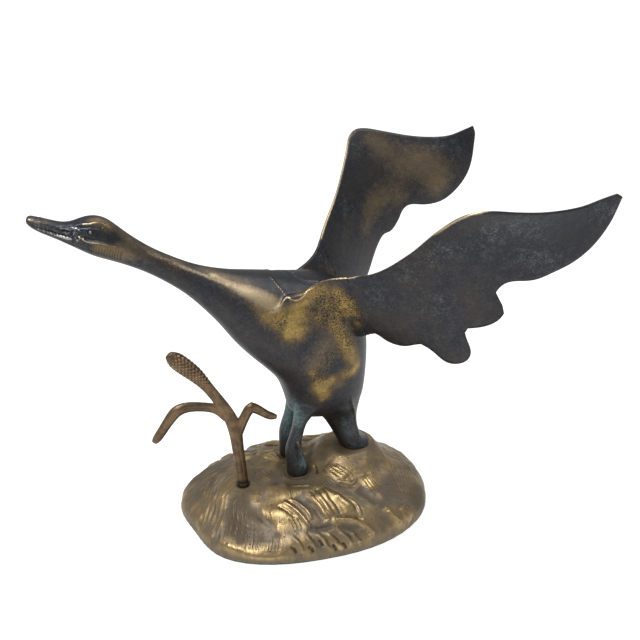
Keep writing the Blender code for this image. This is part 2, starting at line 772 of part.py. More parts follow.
def drill_mound(mound):
    """Clearance holes for the three screws, and the reed's pocket, boss and hole."""
    boss_top = REED_SEAT_Z - REED_BOSS_OVERLAP
    boss_bottom = REED_SEAT_Z - BASE_WALL - REED_BOSS_DROP
    boss = drill("boss", REED_X, REED_Y, REED_BOSS_RADIUS, boss_bottom, boss_top)
    combine(mound, boss, "UNION")
    below = 3 * BASE_WALL
    for x, y, seat_z, seat_radius in seats()[:3]:
        seat_face = drill("seat_face", x, y, seat_radius - SEAT_CUT_MARGIN, seat_z, seat_z + below)
        combine(mound, seat_face, "DIFFERENCE")
        spot_radius = WASHER_RADIUS + SPOT_FACE_MARGIN
        spot_face = drill("spot_face", x, y, spot_radius, seat_z - below, seat_z - SCREW_WALL)
        combine(mound, spot_face, "DIFFERENCE")
        hole_radius = SCREW_RADIUS + HOLE_CLEARANCE
        hole = drill("hole", x, y, hole_radius, seat_z - below, seat_z + MM)
        combine(mound, hole, "DIFFERENCE")
    pocket_radius = REED_STEM[0][2] * MM + REED_POCKET_MARGIN
    pocket_floor = REED_SEAT_Z - REED_SHOULDER_DROP - SEAT_GAP
    pocket_top = REED_SEAT_Z + CUTTER_OVERRUN
    pocket = drill("pocket", REED_X, REED_Y, pocket_radius, pocket_floor, pocket_top)
    combine(mound, pocket, "DIFFERENCE")
    reed_radius = REED_TENON_RADIUS + HOLE_CLEARANCE
    reed_hole = drill("reed_hole", REED_X, REED_Y, reed_radius, 0.0, REED_SEAT_Z + MM)
    combine(mound, reed_hole, "DIFFERENCE")


def reed_stretch(name, rows, collection, finish=None):
    """One bent stretch of the reed: a round bar on a curve, flattened front to back."""
    curve = bpy.data.curves.new(name, "CURVE")
    curve.dimensions = "3D"
    curve.bevel_depth = MM
    curve.bevel_resolution = 3
    curve.use_fill_caps = True
    spline = curve.splines.new("POLY")
    points = smooth_curve(rows, count=2 * len(rows) + 1)
    spline.points.add(len(points) - 1)
    for point, (x, z, half_width) in zip(spline.points, points):
        point.co = (x * MM, 0.0, z * MM, 1.0)
        point.radius = half_width
    bar = bpy.data.objects.new(name, curve)
    cutters.objects.link(bar)
    graph = bpy.context.evaluated_depsgraph_get()
    mesh = bpy.data.meshes.new_from_object(bar.evaluated_get(graph))
    bpy.data.objects.remove(bar, do_unlink=True)
    bm = bmesh.new()
    bm.from_mesh(mesh)
    bmesh.ops.remove_doubles(bm, verts=bm.verts, dist=AXIS_WELD)
    bmesh.ops.scale(bm, verts=bm.verts, vec=Vector((1, REED_FLATNESS, 1)))
    bmesh.ops.translate(bm, verts=bm.verts, vec=Vector((0, REED_Y, 0)))
    return finish_mesh(name, bm, collection, finish)


def reed_tenon_bottom():
    """Where the reed's thread ends, a little below its nut."""
    washer_top = REED_SEAT_Z - BASE_WALL - REED_BOSS_DROP - SEAT_GAP
    return washer_top - WASHER_THICKNESS - 2 * SEAT_GAP - NUT_HEIGHT - THREAD_BEYOND_NUT


def make_reed(finish):
    """The reed spray: a stem with its seed head, and two bent leaves, cast as one."""
    reed = reed_stretch("reed_spray", REED_STEM, parts, finish)
    combine(reed, reed_stretch("left_leaf", REED_LEFT_LEAF, cutters), "UNION")
    combine(reed, reed_stretch("right_leaf", REED_RIGHT_LEAF, cutters), "UNION")
    shoulder = REED_SEAT_Z - REED_SHOULDER_DROP
    top = shoulder + REED_TENON_OVERLAP
    stem_radius = REED_STEM[0][2] * MM
    foot = (
        (0.0, top),
        (stem_radius, top),
        (stem_radius, shoulder),
        (REED_TENON_RADIUS, shoulder),
        (REED_TENON_RADIUS, reed_tenon_bottom()),
        (0.0, reed_tenon_bottom()),
    )
    tenon = turned("reed_tenon", foot, DRILL_SIDES, Vector((REED_X, REED_Y, 0)), cutters)
    apply_modifiers(tenon)
    combine(reed, tenon, "UNION")
    return reed


def make_washer(name, x, y, top, finish):
    """A flat washer whose upper face is at the given height."""
    inner = SCREW_RADIUS + HOLE_CLEARANCE
    bottom = top - WASHER_THICKNESS
    profile = (
        (inner, top),
        (WASHER_RADIUS, top),
        (WASHER_RADIUS, bottom),
        (inner, bottom),
        (inner, top),
    )
    return turned(name, profile, WASHER_SIDES, Vector((x, y, 0)), parts, finish)


def make_screw(name, x, y, seat_z, finish):
    """A slotted screw from inside the mound, up through its wall into the casting."""
    head_top = seat_z - SCREW_WALL - WASHER_THICKNESS - 2 * SEAT_GAP
    tip = seat_z + SCREW_GRIP
    head_bottom = head_top - SCREW_HEAD_HEIGHT
    shank = [
        (0.0, tip),
        (SCREW_RADIUS - SCREW_CHAMFER, tip),
        (SCREW_RADIUS, tip - SCREW_CHAMFER),
        (SCREW_RADIUS, head_top),
        (SCREW_HEAD_RADIUS, head_top),
    ]
    crown = [(SCREW_HEAD_RADIUS * share, head_bottom + rise) for share, rise in SCREW_HEAD_CROWN]
    profile = shank + crown + [(0.0, head_bottom)]
    screw = turned(name, profile, SCREW_SIDES, Vector((x, y, 0)), parts, finish)
    apply_modifiers(screw)
    bm = bmesh.new()
    bmesh.ops.create_cube(bm, size=1.0)
    slot_size = Vector((3 * SCREW_HEAD_RADIUS, SCREW_SLOT_WIDTH, 2 * SCREW_SLOT_DEPTH))
    bmesh.ops.scale(bm, verts=bm.verts, vec=slot_size)
    bmesh.ops.translate(bm, verts=bm.verts, vec=Vector((x, y, head_bottom)))
    combine(screw, finish_mesh("slot", bm, cutters), "DIFFERENCE")
    return screw


def make_nut(finish):
    """A hexagon nut on the reed's threaded tenon."""
    top = REED_SEAT_Z - BASE_WALL - REED_BOSS_DROP - WASHER_THICKNESS - 2 * SEAT_GAP
    radius = NUT_ACROSS_FLATS / math.sqrt(3)
    bm = bmesh.new()
    bmesh.ops.create_cone(
        bm,
        cap_ends=True,
        segments=6,
        radius1=radius,
        radius2=radius,
        depth=NUT_HEIGHT,
    )
    bmesh.ops.translate(bm, verts=bm.verts, vec=Vector((REED_X, REED_Y, top - NUT_HEIGHT / 2)))
    nut = finish_mesh("reed_nut", bm, parts, finish)
    radius = REED_TENON_RADIUS + HOLE_CLEARANCE
    bore = drill("nut_bore", REED_X, REED_Y, radius, top - 2 * NUT_HEIGHT, top + NUT_HEIGHT)
    combine(nut, bore, "DIFFERENCE")
    return nut


def build():
    """Makes every piece, from the mound up."""
    dark_bronze = metal("dark_bronze", (0.055, 0.05, 0.05), 0.42)
    gold_brass = metal("gold_brass", (0.42, 0.3, 0.13), 0.36)
    brown_bronze = metal("brown_bronze", (0.21, 0.14, 0.07), 0.4)
    steel = metal("zinc_steel", (0.55, 0.55, 0.53), 0.35)
    felt = metal("green_felt", (0.03, 0.06, 0.04), 0.95, 0.0)

    mound = make_mound(gold_brass)
    drill_mound(mound)
    make_felt(felt)
    left_stub, left_mortise = make_wing(
        "left_wing", -1, LEFT_LEADING, LEFT_TRAILING, LEFT_TRAILING_ANCHORS, dark_bronze
    )
    right_stub, right_mortise = make_wing(
        "right_wing", 1, RIGHT_LEADING, RIGHT_TRAILING, RIGHT_TRAILING_ANCHORS, dark_bronze
    )
    make_body((left_stub, right_stub), (left_mortise, right_mortise), dark_bronze)
    make_reed(brown_bronze)

    names = ("left_foot", "right_foot", "tail")
    for name, (x, y, seat_z, _) in zip(names, seats()):
        make_washer(f"{name}_washer", x, y, seat_z - SCREW_WALL - SEAT_GAP, steel)
        make_screw(f"{name}_screw", x, y, seat_z, steel)
    boss_face = REED_SEAT_Z - BASE_WALL - REED_BOSS_DROP - SEAT_GAP
    make_washer("reed_washer", REED_X, REED_Y, boss_face, steel)
    make_nut(steel)


build()
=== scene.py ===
# %% [markdown]
# # A cast bronze goose on a grassy mound
#
# The object is a small ornament: a goose taking off from a mound of carved grass, with a bent reed
# beside it. The goose is lost wax bronze with a dark chemical patina that hands have rubbed back to
# gold at the shoulder. The mound is brass, washed with umber that stays in the hollows.
#
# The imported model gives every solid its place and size. This script keeps both and adds what the
# casting shows close up: tool marks, pits, rubbed ridges and verdigris.

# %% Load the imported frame
import math
import bmesh
import bpy
import numpy as np
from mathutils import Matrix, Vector, noise
from mathutils.bvhtree import BVHTree


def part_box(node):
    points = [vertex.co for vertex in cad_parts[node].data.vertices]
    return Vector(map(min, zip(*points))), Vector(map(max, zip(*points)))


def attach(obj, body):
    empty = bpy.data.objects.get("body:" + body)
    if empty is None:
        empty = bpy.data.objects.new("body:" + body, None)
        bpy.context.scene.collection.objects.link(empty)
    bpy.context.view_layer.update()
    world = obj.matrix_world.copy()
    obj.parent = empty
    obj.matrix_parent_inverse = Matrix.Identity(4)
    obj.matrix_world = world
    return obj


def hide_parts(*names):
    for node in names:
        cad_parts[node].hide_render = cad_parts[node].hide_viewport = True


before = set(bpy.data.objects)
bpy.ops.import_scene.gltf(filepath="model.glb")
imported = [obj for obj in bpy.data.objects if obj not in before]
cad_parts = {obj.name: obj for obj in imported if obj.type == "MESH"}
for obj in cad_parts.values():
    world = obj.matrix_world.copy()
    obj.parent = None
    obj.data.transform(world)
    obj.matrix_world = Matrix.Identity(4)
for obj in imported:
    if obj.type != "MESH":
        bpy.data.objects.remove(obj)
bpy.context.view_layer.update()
MM = 0.001
print("nodes:", sorted(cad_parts))

# %% [markdown]
# The camera stands in front of the mound, a little to its left, and looks down by 25 degrees. From
# there the near wing sweeps to the right and the far wing stands up behind it.

# %% Camera
TILT = math.radians(65)
TURN = math.radians(-15.1)
camera_data = bpy.data.cameras.new("camera")
camera_data.sensor_width = 36
camera_data.lens = 43.875
camera = bpy.data.objects.new("camera", camera_data)
camera.location = (-0.1247, -0.5250, 0.4166)
camera.rotation_euler = (TILT, 0, TURN)
bpy.context.scene.collection.objects.link(camera)
bpy.context.scene.camera = camera
print("camera height, mm:", round(camera.location.z / MM))

# %% [markdown]
# A cast surface has no facets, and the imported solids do. Each skin therefore starts from a copy of
# its solid: the loose triangles are welded and paired into quads, edges that are meant to be crisp
# are creased, and subdivision rounds the rest. Where marks are carved later, the skin is rebuilt on
# an even grid of small quads, fine enough to hold a line that a graver would cut.

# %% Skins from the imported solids
CRISP = math.radians(40)


def link(name, mesh):
    """A new object for a mesh, in the scene."""
    skin = bpy.data.objects.new(name, mesh)
    bpy.context.scene.collection.objects.link(skin)
    return skin


def welded_copy(name, nodes, crisp_angle=CRISP):
    """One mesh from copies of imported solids, in quads, with its crisp edges creased."""
    bm = bmesh.new()
    for node in nodes:
        bm.from_mesh(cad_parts[node].data)
    bmesh.ops.remove_doubles(bm, verts=bm.verts, dist=0.002 * MM)
    bmesh.ops.join_triangles(
        bm, faces=bm.faces, angle_face_threshold=math.radians(12),
        angle_shape_threshold=math.radians(60))
    bmesh.ops.recalc_face_normals(bm, faces=bm.faces)
    crease = bm.edges.layers.float.new("crease_edge")
    for edge in bm.edges:
        if len(edge.link_faces) == 2 and edge.calc_face_angle(0) > crisp_angle:
            edge[crease] = 1
    mesh = bpy.data.meshes.new(name)
    bm.to_mesh(mesh)
    bm.free()
    return link(name, mesh)


def subdivided(skin, levels):
    """Rounds a skin by subdivision, and applies it."""
    modifier = skin.modifiers.new("round", "SUBSURF")
    modifier.levels = levels
    modifier.render_levels = levels
    evaluated = skin.evaluated_get(bpy.context.evaluated_depsgraph_get())
    mesh = bpy.data.meshes.new_from_object(evaluated)
    skin.modifiers.clear()
    skin.data = mesh


def even_grid(skin, size):
    """Rebuilds a closed skin from quads of one size."""
    bpy.context.view_layer.objects.active = skin
    skin.data.remesh_voxel_size = size
    bpy.ops.object.voxel_remesh()


def quartered(bm, faces):
    """Cuts these faces of a bmesh into four."""
    edges = dict.fromkeys(edge for face in faces for edge in face.edges)
    bmesh.ops.subdivide_edges(bm, edges=list(edges), cuts=1, use_grid_fill=True)


# %% [markdown]
# The marks are carved by moving the points of a skin along its own normals. A mark is a path on the
# surface, given by a few points in millimetres that snap to the skin, and a profile across it: a
# rounded ridge, a groove, or a blade, which is a ridge with a groove along one side.

# %% Carving tools
WINGS_FROM, WINGS_ABOVE = -45, 195


def floats(attribute, name, count, width):
    """A property of many mesh elements, as rows of numbers."""
    values = np.empty(count * width)
    attribute.foreach_get(name, values)
    return values.reshape(-1, width)


class Carving:
    """A skin's points, normals and neighbours, in millimetres, and the lift of its marks."""

    def __init__(self, skin, smoothing=0):
        mesh = skin.data
        self.skin = skin
        self.points = floats(mesh.vertices, "co", len(mesh.vertices), 3) / MM
        ends = np.empty(len(mesh.edges) * 2, int)
        mesh.edges.foreach_get("vertices", ends)
        self.ends = ends.reshape(-1, 2)
        self.degree = np.bincount(ends, minlength=len(self.points))
        for axis in range(3):
            self.points[:, axis] = self.blurred(self.points[:, axis], smoothing)
        self.write()
        self.normals = floats(mesh.vertex_normals, "vector", len(mesh.vertices), 3)
        self.lift = np.zeros(len(self.points))
        self.places = self.points.copy()
        self.left_hand = self.points.copy()
        self.left_hand[:, 1] = -np.abs(self.points[:, 1])
        corners = [tuple(face.vertices) for face in mesh.polygons]
        self.tree = BVHTree.FromPolygons([Vector(point) for point in self.points], corners)

    def unsteady(self, reach, size):
        """Makes every later mark waver, as a hand does, by this many millimetres."""
        waver = [noise.noise_vector(Vector(point) / size) for point in self.points]
        self.places += reach * np.array(waver)

    def write(self):
        """Moves the skin's points to where the carving has them."""
        self.skin.data.vertices.foreach_set("co", (self.points * MM).ravel())
        self.skin.data.update()

    def blurred(self, values, rounds):
        """Each value moved towards the mean of its neighbours, several times."""
        one, other = self.ends.T
        count = len(self.points)
        for _ in range(rounds):
            total = np.bincount(one, weights=values[other], minlength=count)
            total += np.bincount(other, weights=values[one], minlength=count)
            values = 0.5 * values + 0.5 * total / self.degree
        return values

    def path(self, corners, reach=15):
        """A smooth run of points through the corners, on the skin where it is within reach."""
        corners = np.array(corners, float)
        steps = np.linspace(0, len(corners) - 1, 6 * (len(corners) - 1) + 1)
        padded = np.vstack([2 * corners[0] - corners[1], corners, 2 * corners[-1] - corners[-2]])
        first = np.minimum(steps.astype(int), len(corners) - 2)
        t = (steps - first)[:, None]
        a, b, c, d = (padded[first + shift] for shift in range(4))
        square = (2 * a - 5 * b + 4 * c - d) * t**2
        cube = (3 * b - a - 3 * c + d) * t**3
        run = 0.5 * (2 * b + (c - a) * t + square + cube)
        hits = [self.tree.find_nearest(Vector(point)) for point in run]
        return np.array([hit[0] for hit in hits if hit[3] < reach])

    def across(self, path, reach, both_sides=False):
        """The points near a path: their numbers, distance, side and place along it."""
        places = self.left_hand if both_sides else self.places
        near = np.all((places > path.min(0) - reach) & (places < path.max(0) + reach), axis=1)
        near = np.flatnonzero(near)
        places = places[near]
        best = np.full(len(near), 1e9)
        side = np.zeros(len(near))
        along = np.zeros(len(near))
        normals = self.normals[near]
        for step, (start, end) in enumerate(zip(path[:-1], path[1:])):
            run = end - start
            part = np.clip((places - start) @ run / max(run @ run, 1e-9), 0, 1)
            offset = places - start - part[:, None] * run
            distance = np.linalg.norm(offset, axis=1)
            closer = distance < best
            best[closer] = distance[closer]
            turn = np.einsum("ij,ij->i", np.cross(run[None, :], offset), normals)
            side[closer] = np.sign(turn[closer])
            along[closer] = (step + part[closer]) / (len(path) - 1)
        return near, best, side, along

    def ridge(self, corners, height, width, both_sides=False, taper=0.2):
        """A rounded ridge along the path, or a groove if the height is negative."""
        near, distance, _, along = self.across(self.path(corners), 2.5 * width, both_sides)
        ends = np.clip(np.minimum(along, 1 - along) / taper, 0, 1) if taper else 1
        self.lift[near] += height * np.exp(-((distance / width) ** 2)) * np.sqrt(ends)

    def blade(self, corners, height, width):
        """A blade of grass, swollen in the middle, with a cut under one edge."""
        near, distance, side, along = self.across(self.path(corners), 3.5 * width)
        swell = np.sqrt(np.clip(np.sin(np.pi * np.clip(along, 0.02, 0.98)), 0, 1))
        signed = distance * side
        body = np.exp(-((signed / width) ** 2))
        cut = np.exp(-(((signed - 1.35 * width) / (0.45 * width)) ** 2))
        self.lift[near] += swell * (height * body - 0.75 * cut)

    def distance(self, centre, both_sides):
        """How far each point is from a centre."""
        places = self.left_hand if both_sides else self.places
        return np.linalg.norm(places - np.array(centre), axis=1)

    def spot(self, centre, radius, both_sides=False):
        """One at the centre, falling off to nothing at about twice the radius."""
        return np.exp(-((self.distance(centre, both_sides) / radius) ** 2))

    def soft_union(self, centres, mirrored=False):
        """One where many soft spots overlap. On the body they may be on both of its sides."""
        bare = np.ones(len(self.points))
        for *centre, radius in centres:
            on_the_body = WINGS_FROM < centre[1] < 0 and centre[2] < WINGS_ABOVE
            bare *= 1 - 0.6 * self.spot(centre, radius, mirrored and on_the_body)
        return 1 - bare

    def dome(self, centre, height, radius, both_sides=False):
        """A round swelling, or a dent if the height is negative."""
        self.lift += height * self.spot(centre, radius, both_sides)

    def ring(self, centre, radius, height, width, both_sides=False):
        """A rounded ridge in a circle, or a groove if the height is negative."""
        off = (self.distance(centre, both_sides) - radius) / width
        self.lift += height * np.exp(-(off**2))

    def line(self, corners, width, both_sides=False):
        """One on the path, falling off to nothing at about twice the width."""
        values = np.zeros(len(self.points))
        path = self.path(corners, 3)
        if len(path) < 2:
            return values
        near, distance, _, _ = self.across(path, 2.5 * width, both_sides)
        values[near] = np.exp(-((distance / width) ** 2))
        return values

    def apply(self):
        """Moves the points by the lift, and stores how far each stands out from those around."""
        lift = self.blurred(self.lift, 1)
        self.points += lift[:, None] * self.normals
        near = self.blurred(lift, 14)
        self.store("stand_out", np.clip(0.5 + 0.7 * (lift - near), 0, 1))
        self.write()

    def store(self, name, values):
        """Keeps one number for each point on the skin, for its material to read."""
        mesh = self.skin.data
        attribute = mesh.attributes.get(name) or mesh.attributes.new(name, "FLOAT", "POINT")
        attribute.data.foreach_set("value", np.ascontiguousarray(values, np.float32))


def finished(skin, slot, *nodes):
    """The skin rides on the root body, stands for its nodes and is shaded smooth."""
    skin.data.polygons.foreach_set("use_smooth", [True] * len(skin.data.polygons))
    skin.data.set_sharp_from_angle(angle=math.radians(60))
    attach(skin, "root")
    if nodes:
        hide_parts(*nodes)
    print(skin.name, len(skin.data.polygons), "faces")


# %% [markdown]
# The mound is a hollow brass casting. Its maker modelled grass in wax with a comb and a rounded
# gouge. Its skin is finer above the rim, and finest where the camera sees it from close by.

# %% Mound skin
FINE_FRONT = -36 * MM
FINE_ABOVE = 10 * MM
mound = welded_copy("mound_skin", ["mound_base"])
subdivided(mound, 1)
even_grid(mound, size=2 * MM)
low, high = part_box("mound_base")
heart = Vector(((low.x + high.x) / 2, (low.y + high.y) / 2, low.z))
bm = bmesh.new()
bm.from_mesh(mound.data)
for front, above in ((high.y, 0), (FINE_FRONT, FINE_ABOVE)):
    middles = [(face, face.calc_center_median()) for face in bm.faces]
    quartered(bm, [
        face for face, middle in middles
        if face.normal.dot(middle - heart) > 0 and middle.y < front and middle.z > low.z + above
    ])
bm.to_mesh(mound.data)
bm.free()
mound.data.calc_loop_triangles()
print("mound triangles:", len(mound.data.loop_triangles))

# %% [markdown]
# The wax was pushed into broad rises and hollows first, and only then cut with strokes. The front
# is followed from the photo; the back repeats its gestures, turned about.

# %% Rises and hollows
grass = Carving(mound, 8)
grass.unsteady(0.7, 8)


def opposite(rows):
    """The same gestures turned about to the far side of the mound."""
    return [(2 * heart.x / MM - x, 2 * heart.y / MM - y, *rest) for x, y, *rest in rows]


def broad_forms(turn):
    """The rises and hollows that the strokes are cut into."""
    for corners, height, width in (
        ([(-64, -33, 26), (-64, -41, 24), (-61, -50, 22), (-55, -58, 20), (-46, -64, 20),
          (-35, -68, 21)], -1.7, 6),
        ([(-78, -53, 13), (-69, -63, 12), (-57, -72, 10), (-43, -77, 8), (-29, -79, 9)], 1.9, 4),
        ([(-39, -31, 35), (-28, -30, 37), (-16, -30, 37)], 0.8, 4),
        ([(17, -20, 41), (24, -29, 40), (29, -35, 38)], 1.6, 6),
        ([(45, -34, 37), (48, -41, 34), (50, -47, 31)], 1.5, 4.5),
        ([(2, -46, 37), (7, -56, 33), (10, -65, 28)], 1.5, 7),
        ([(-36, -33, 35), (-24, -36, 36), (-12, -40, 37), (2, -42, 38), (12, -42, 38)], 0.6, 6),
        ([(-14, -30, 37), (0, -33, 38), (14, -38, 38), (26, -46, 36), (36, -54, 31)], -0.6, 4),
        ([(-12, -70, 22), (-2, -71, 22), (8, -71, 23)], -1.2, 2.5),
        ([(15, -50, 35), (20, -56, 32), (25, -63, 28)], 1.4, 3.5),
        ([(52, -62, 24), (59, -68, 18), (64, -70, 11)], 1.7, 3),
        ([(67, -61, 20), (70, -64, 16), (76, -64, 8)], 1.3, 3),
        ([(36, -45, 34), (42, -52, 31), (48, -60, 27)], -1.7, 4),
        ([(12, -72, 22), (20, -73, 21), (28, -75, 18)], -1.3, 2.5),
        ([(-44, -40, 31), (-45, -47, 28), (-41, -55, 25), (-34, -62, 23)], -0.9, 2.5),
        ([(-14, -45, 35), (-8, -52, 34), (-2, -60, 31), (2, -68, 26)], -1.3, 3),
    ):
        grass.ridge(turn(corners), height, width)
    for *centre, height, radius in turn([
        (-30, -54, 29, 2.6, 9), (-22, -38, 36, 1.3, 8), (-26, -25, 37, -1.1, 6),
        (62, -50, 28, -2.2, 9), (70, -20, 35, 1, 9), (-72, -24, 26, 1, 9),
    ]):
        grass.dome(centre, height, radius)


for turn in (list, opposite):
    broad_forms(turn)
grass.lift += 0.7 * np.array([noise.noise(Vector(point) / 9) for point in grass.points])
grass.store("swelling", np.clip(0.5 + 0.22 * grass.lift, 0, 1))
print("rises and hollows, mm:", np.ptp(grass.lift).round(1))

# %% [markdown]
# A comb of strokes runs evenly between a first and a last path, as a hand does when it repeats one
# gesture. Sheaves of long blades fall over the front, short ones stand along the foot, shallow
# scratches run round the near foot, and streaks follow the two ends.

# %% Blades and streaks
def comb(first, last, count, mark, *measures):
    """Makes marks that are evenly spaced between a first and a last path."""
    for part in np.linspace(0, 1, count):
        mark((1 - part) * np.array(first, float) + part * np.array(last, float), *measures)


LONG_BLADE = (grass.blade, 1.2, 1.8)
SHORT_BLADE = (grass.blade, 0.8, 1.3)
STREAK = (grass.ridge, 0.45, 0.8)
SCRATCH = (grass.ridge, -0.45, 0.7)
GROOVE = (grass.ridge, -0.6, 0.8)


def front_sheaves(turn):
    """The sheaves of the front, or the same gestures on the far side of the mound."""
    for count, kind, first, last in (
        (3, LONG_BLADE, [(-3, -47, 37), (0, -56, 33), (3, -62, 30), (6, -66, 27)],
         [(6, -46, 37), (9, -55, 34), (12, -61, 31), (14, -66, 27)]),
        (4, SHORT_BLADE, [(14, -18, 40), (18, -29, 40), (23, -37, 38)],
         [(24, -23, 43), (30, -29, 40), (35, -36, 37)]),
        (4, SHORT_BLADE, [(40, -35, 37), (43, -43, 34), (47, -52, 30)],
         [(46, -34, 37), (49, -40, 34), (52, -47, 31)]),
        (4, GROOVE, [(65, -63, 19), (68, -66, 14), (72, -67, 8)],
         [(74, -57, 20), (77, -60, 13), (81, -60, 8)]),
        (3, GROOVE, [(-24, -60, 27), (-22, -64, 25), (-21, -68, 23)],
         [(-17, -61, 28), (-16, -65, 26), (-15, -69, 23)]),
        (5, STREAK, [(-62, -34, 29), (-65, -44, 22), (-68, -54, 16)],
         [(-50, -50, 24), (-52, -58, 20), (-54, -66, 15)]),
    ):
        comb(turn(first), turn(last), count, *kind)
    for height, width, *corners in (
        (1.8, 3, (10, -46, 37), (17, -53, 34), (23, -59, 31), (26, -66, 27)),
        (1.5, 1.5, (27, -55, 32), (30, -60, 29), (32, -66, 26)),
        (1.5, 2, (-24, -71, 20), (-21, -76, 17), (-18, -80, 11)),
        (1.5, 2, (-15, -72, 21), (-11, -77, 17), (-7, -81, 11)),
        (1.5, 2, (-6, -73, 21), (-2, -78, 17), (2, -82, 10)),
        (1.5, 2, (2, -75, 20), (7, -79, 15), (12, -82, 8)),
        (1.5, 2, (12, -75, 19), (17, -79, 15), (21, -81, 9)),
        (1.5, 2, (21, -76, 18), (24, -79, 14), (28, -80, 9)),
    ):
        grass.blade(turn(corners), height, width)
    for height, width, *corners in (
        (2, 2, (9, -68, 25), (17, -68, 25), (27, -71, 22), (34, -74, 19), (38, -77, 15),
         (35, -79, 10)),
        (-1.2, 1.2, (12, -66, 27), (20, -67, 26), (27, -68, 25), (32, -70, 23)),
        (1.5, 1.2, (21, -38, 38), (27, -40, 37), (32, -41, 36), (38, -36, 37)),
        (-1, 1.4, (20, -40, 37), (27, -43, 36), (34, -43, 35)),
        (1, 1.2, (54, -65, 22), (59, -68, 18), (64, -70, 11)),
        (-0.9, 1.3, (-12, -68, 25), (-3, -71, 23), (6, -71.5, 22.7), (17, -73, 21),
         (26, -76, 18)),
        (2, 1.5, (-25, -46, 33), (-20, -52, 32), (-15, -59, 30), (-12, -65, 27),
         (-9, -70, 23)),
        (1.4, 1.3, (-20, -46, 35), (-14, -52, 34), (-9, -59, 31), (-7, -65, 27)),
        (-1.2, 1.4, (-29, -48, 31), (-24, -54, 30), (-19, -60, 28)),
        (1, 1, (-16, -34, 38), (-8, -36, 38), (-1, -38, 38)),
        (0.5, 1.2, (-60, -30, 30), (-62, -40, 27), (-58, -50, 23), (-50, -58, 20)),
    ):
        grass.ridge(turn(corners), height, width)
    for x, y, z in ((-24, -79, 13), (-11, -80, 12), (-3, -79, 15), (7, -81, 10), (15, -81, 10)):
        nick = [(x - 2, y + 1.5, z + 3.5), (x, y, z), (x + 1, y - 1, z - 3)]
        grass.ridge(turn(nick), -1.6, 1.1)


for turn in (list, opposite):
    front_sheaves(turn)
for count, kind, first, last in (
    (5, SCRATCH, [(-33, 2, 34), (-30, -8, 35), (-24, -18, 36), (-14, -25, 37)],
     [(-42, -8, 34), (-38, -20, 35), (-29, -29, 36), (-16, -34, 37)]),
    (5, SCRATCH, [(0, -26, 38), (6, -34, 38), (12, -43, 37)],
     [(12, -20, 40), (15, -29, 40), (20, -38, 38)]),
    (6, SCRATCH, [(26, -14, 42), (34, -22, 41), (42, -32, 38)],
     [(52, -14, 42), (54, -24, 40), (56, -36, 36)]),
    (9, SCRATCH, [(-62, -27, 29), (-66, -38, 25), (-68, -49, 20), (-66, -58, 15)],
     [(-48, -30, 34), (-52, -42, 29), (-52, -54, 23), (-48, -64, 19)]),
    (12, SCRATCH, [(-58, -61, 16), (-61, -66, 12)], [(-33, -70, 20), (-35, -76, 13)]),
    (8, STREAK, [(60, -4, 46), (68, -14, 38), (70, -29, 34), (72, -43, 28), (74, -53, 22)],
     [(84, 14, 23), (90, -3, 22), (90, -24, 23), (89, -39, 19), (90, -48, 12)]),
    (5, STREAK, [(-59, 22, 27), (-70, 15, 24), (-78, 2, 22), (-83, -10, 20)],
     [(-53, 10, 32), (-62, 0, 31), (-70, -12, 29), (-75, -23, 24)]),
    (6, STREAK, [(-74, -9, 27), (-80, -14, 22), (-85, -19, 17), (-88, -26, 13)],
     [(-64, -22, 32), (-68, -32, 26), (-73, -42, 18), (-78, -48, 13)]),
):
    comb(first, last, count, *kind)
grass.ridge(
    [(-62, 24, 26), (-50, 24, 31), (-39, 21, 34), (-27, 22, 35), (-16, 24, 36)], -1, 1.2)
grass.ridge([(8, -12, 40), (8.5, -24, 38)], -1.3, 0.9)
print("with the grass, mm:", np.ptp(grass.lift).round(1))

# %% [markdown]
# Around each seat the wax is wiped flat again, so that the feet, the tail and the reed stand on
# bare metal. Fine combed lines run down the slopes, deeper at the two ends. The umber is washed on
# in some places and polished off in others.

# %% Seats, combed lines and patches
SEATS = {(-6, -13.5): 9.5, (-6, 13.5): 9.5, (42, 0): 15, (-51, -16): 6}
PATCHES = {
    "washed": [
        (-67, -37, 25, 8), (-63, -48, 22, 9), (-67, -52, 19, 8), (-58, -57, 20, 7),
        (-62, -62, 16, 5), (-47, -65, 19, 5), (-35, -68, 21, 4), (67, -37, 32, 9),
        (70, -45, 28, 9), (62, -51, 28, 7), (52, -61, 25, 6), (46, -57, 28, 6), (38, -48, 33, 6),
        (-85, 28, 14, 14), (-76, 30, 17, 12), (-73, 6, 24, 10), (-86, -1, 19, 10),
        (-27, -12, 36, 7), (-23, -21, 36, 6), (-15, -27, 36, 5), (-3, -71, 23, 5), (6, -72, 23, 5),
        (17, -75, 20, 6), (25, -76, 17, 6), (-51, -18, 37, 5), (-6, -22, 37, 6), (42, -14, 42, 8),
        (56, -10, 42, 10), (-60, -30, 29, 7), (-56, -37, 29, 7), (-51, -45, 27, 7),
        (-46, -53, 25, 6), (-52, -32, 32, 6), (-8, -44, 36, 4), (-6, -52, 34, 4), (-4, -60, 31, 4)],
    "polished": [
        (-31, -53, 29, 8), (-26, -59, 27, 7), (-24, -48, 33, 5), (-18, -56, 31, 5),
        (-12, -65, 27, 5), (-68, -62, 13, 5), (-58, -70, 11, 5), (-47, -75, 10, 5),
        (-36, -78, 9, 4), (14, -52, 35, 6), (18, -58, 32, 6), (23, -64, 28, 6), (3, -52, 35, 5),
        (5, -60, 31, 5), (20, -28, 41, 6), (25, -36, 38, 5), (31, -30, 40, 5), (35, -36, 37, 4),
        (47, -42, 33, 4), (52, -53, 29, 4), (14, -69, 25, 4), (23, -70, 23, 4), (31, -73, 20, 4),
        (36, -77, 14, 5), (58, -69, 17, 5), (64, -70, 10, 4)],
}
WIPED_EDGE = 3
RIM, RIM_EDGE = 2, 4
# painted shade: the band of the mound below this height, which faces down and out, is kept darker
PAINTED_SHADE_BELOW, PAINTED_SHADE_EDGE = 10, 5
FLANK, FLANK_EDGE = 50, 20
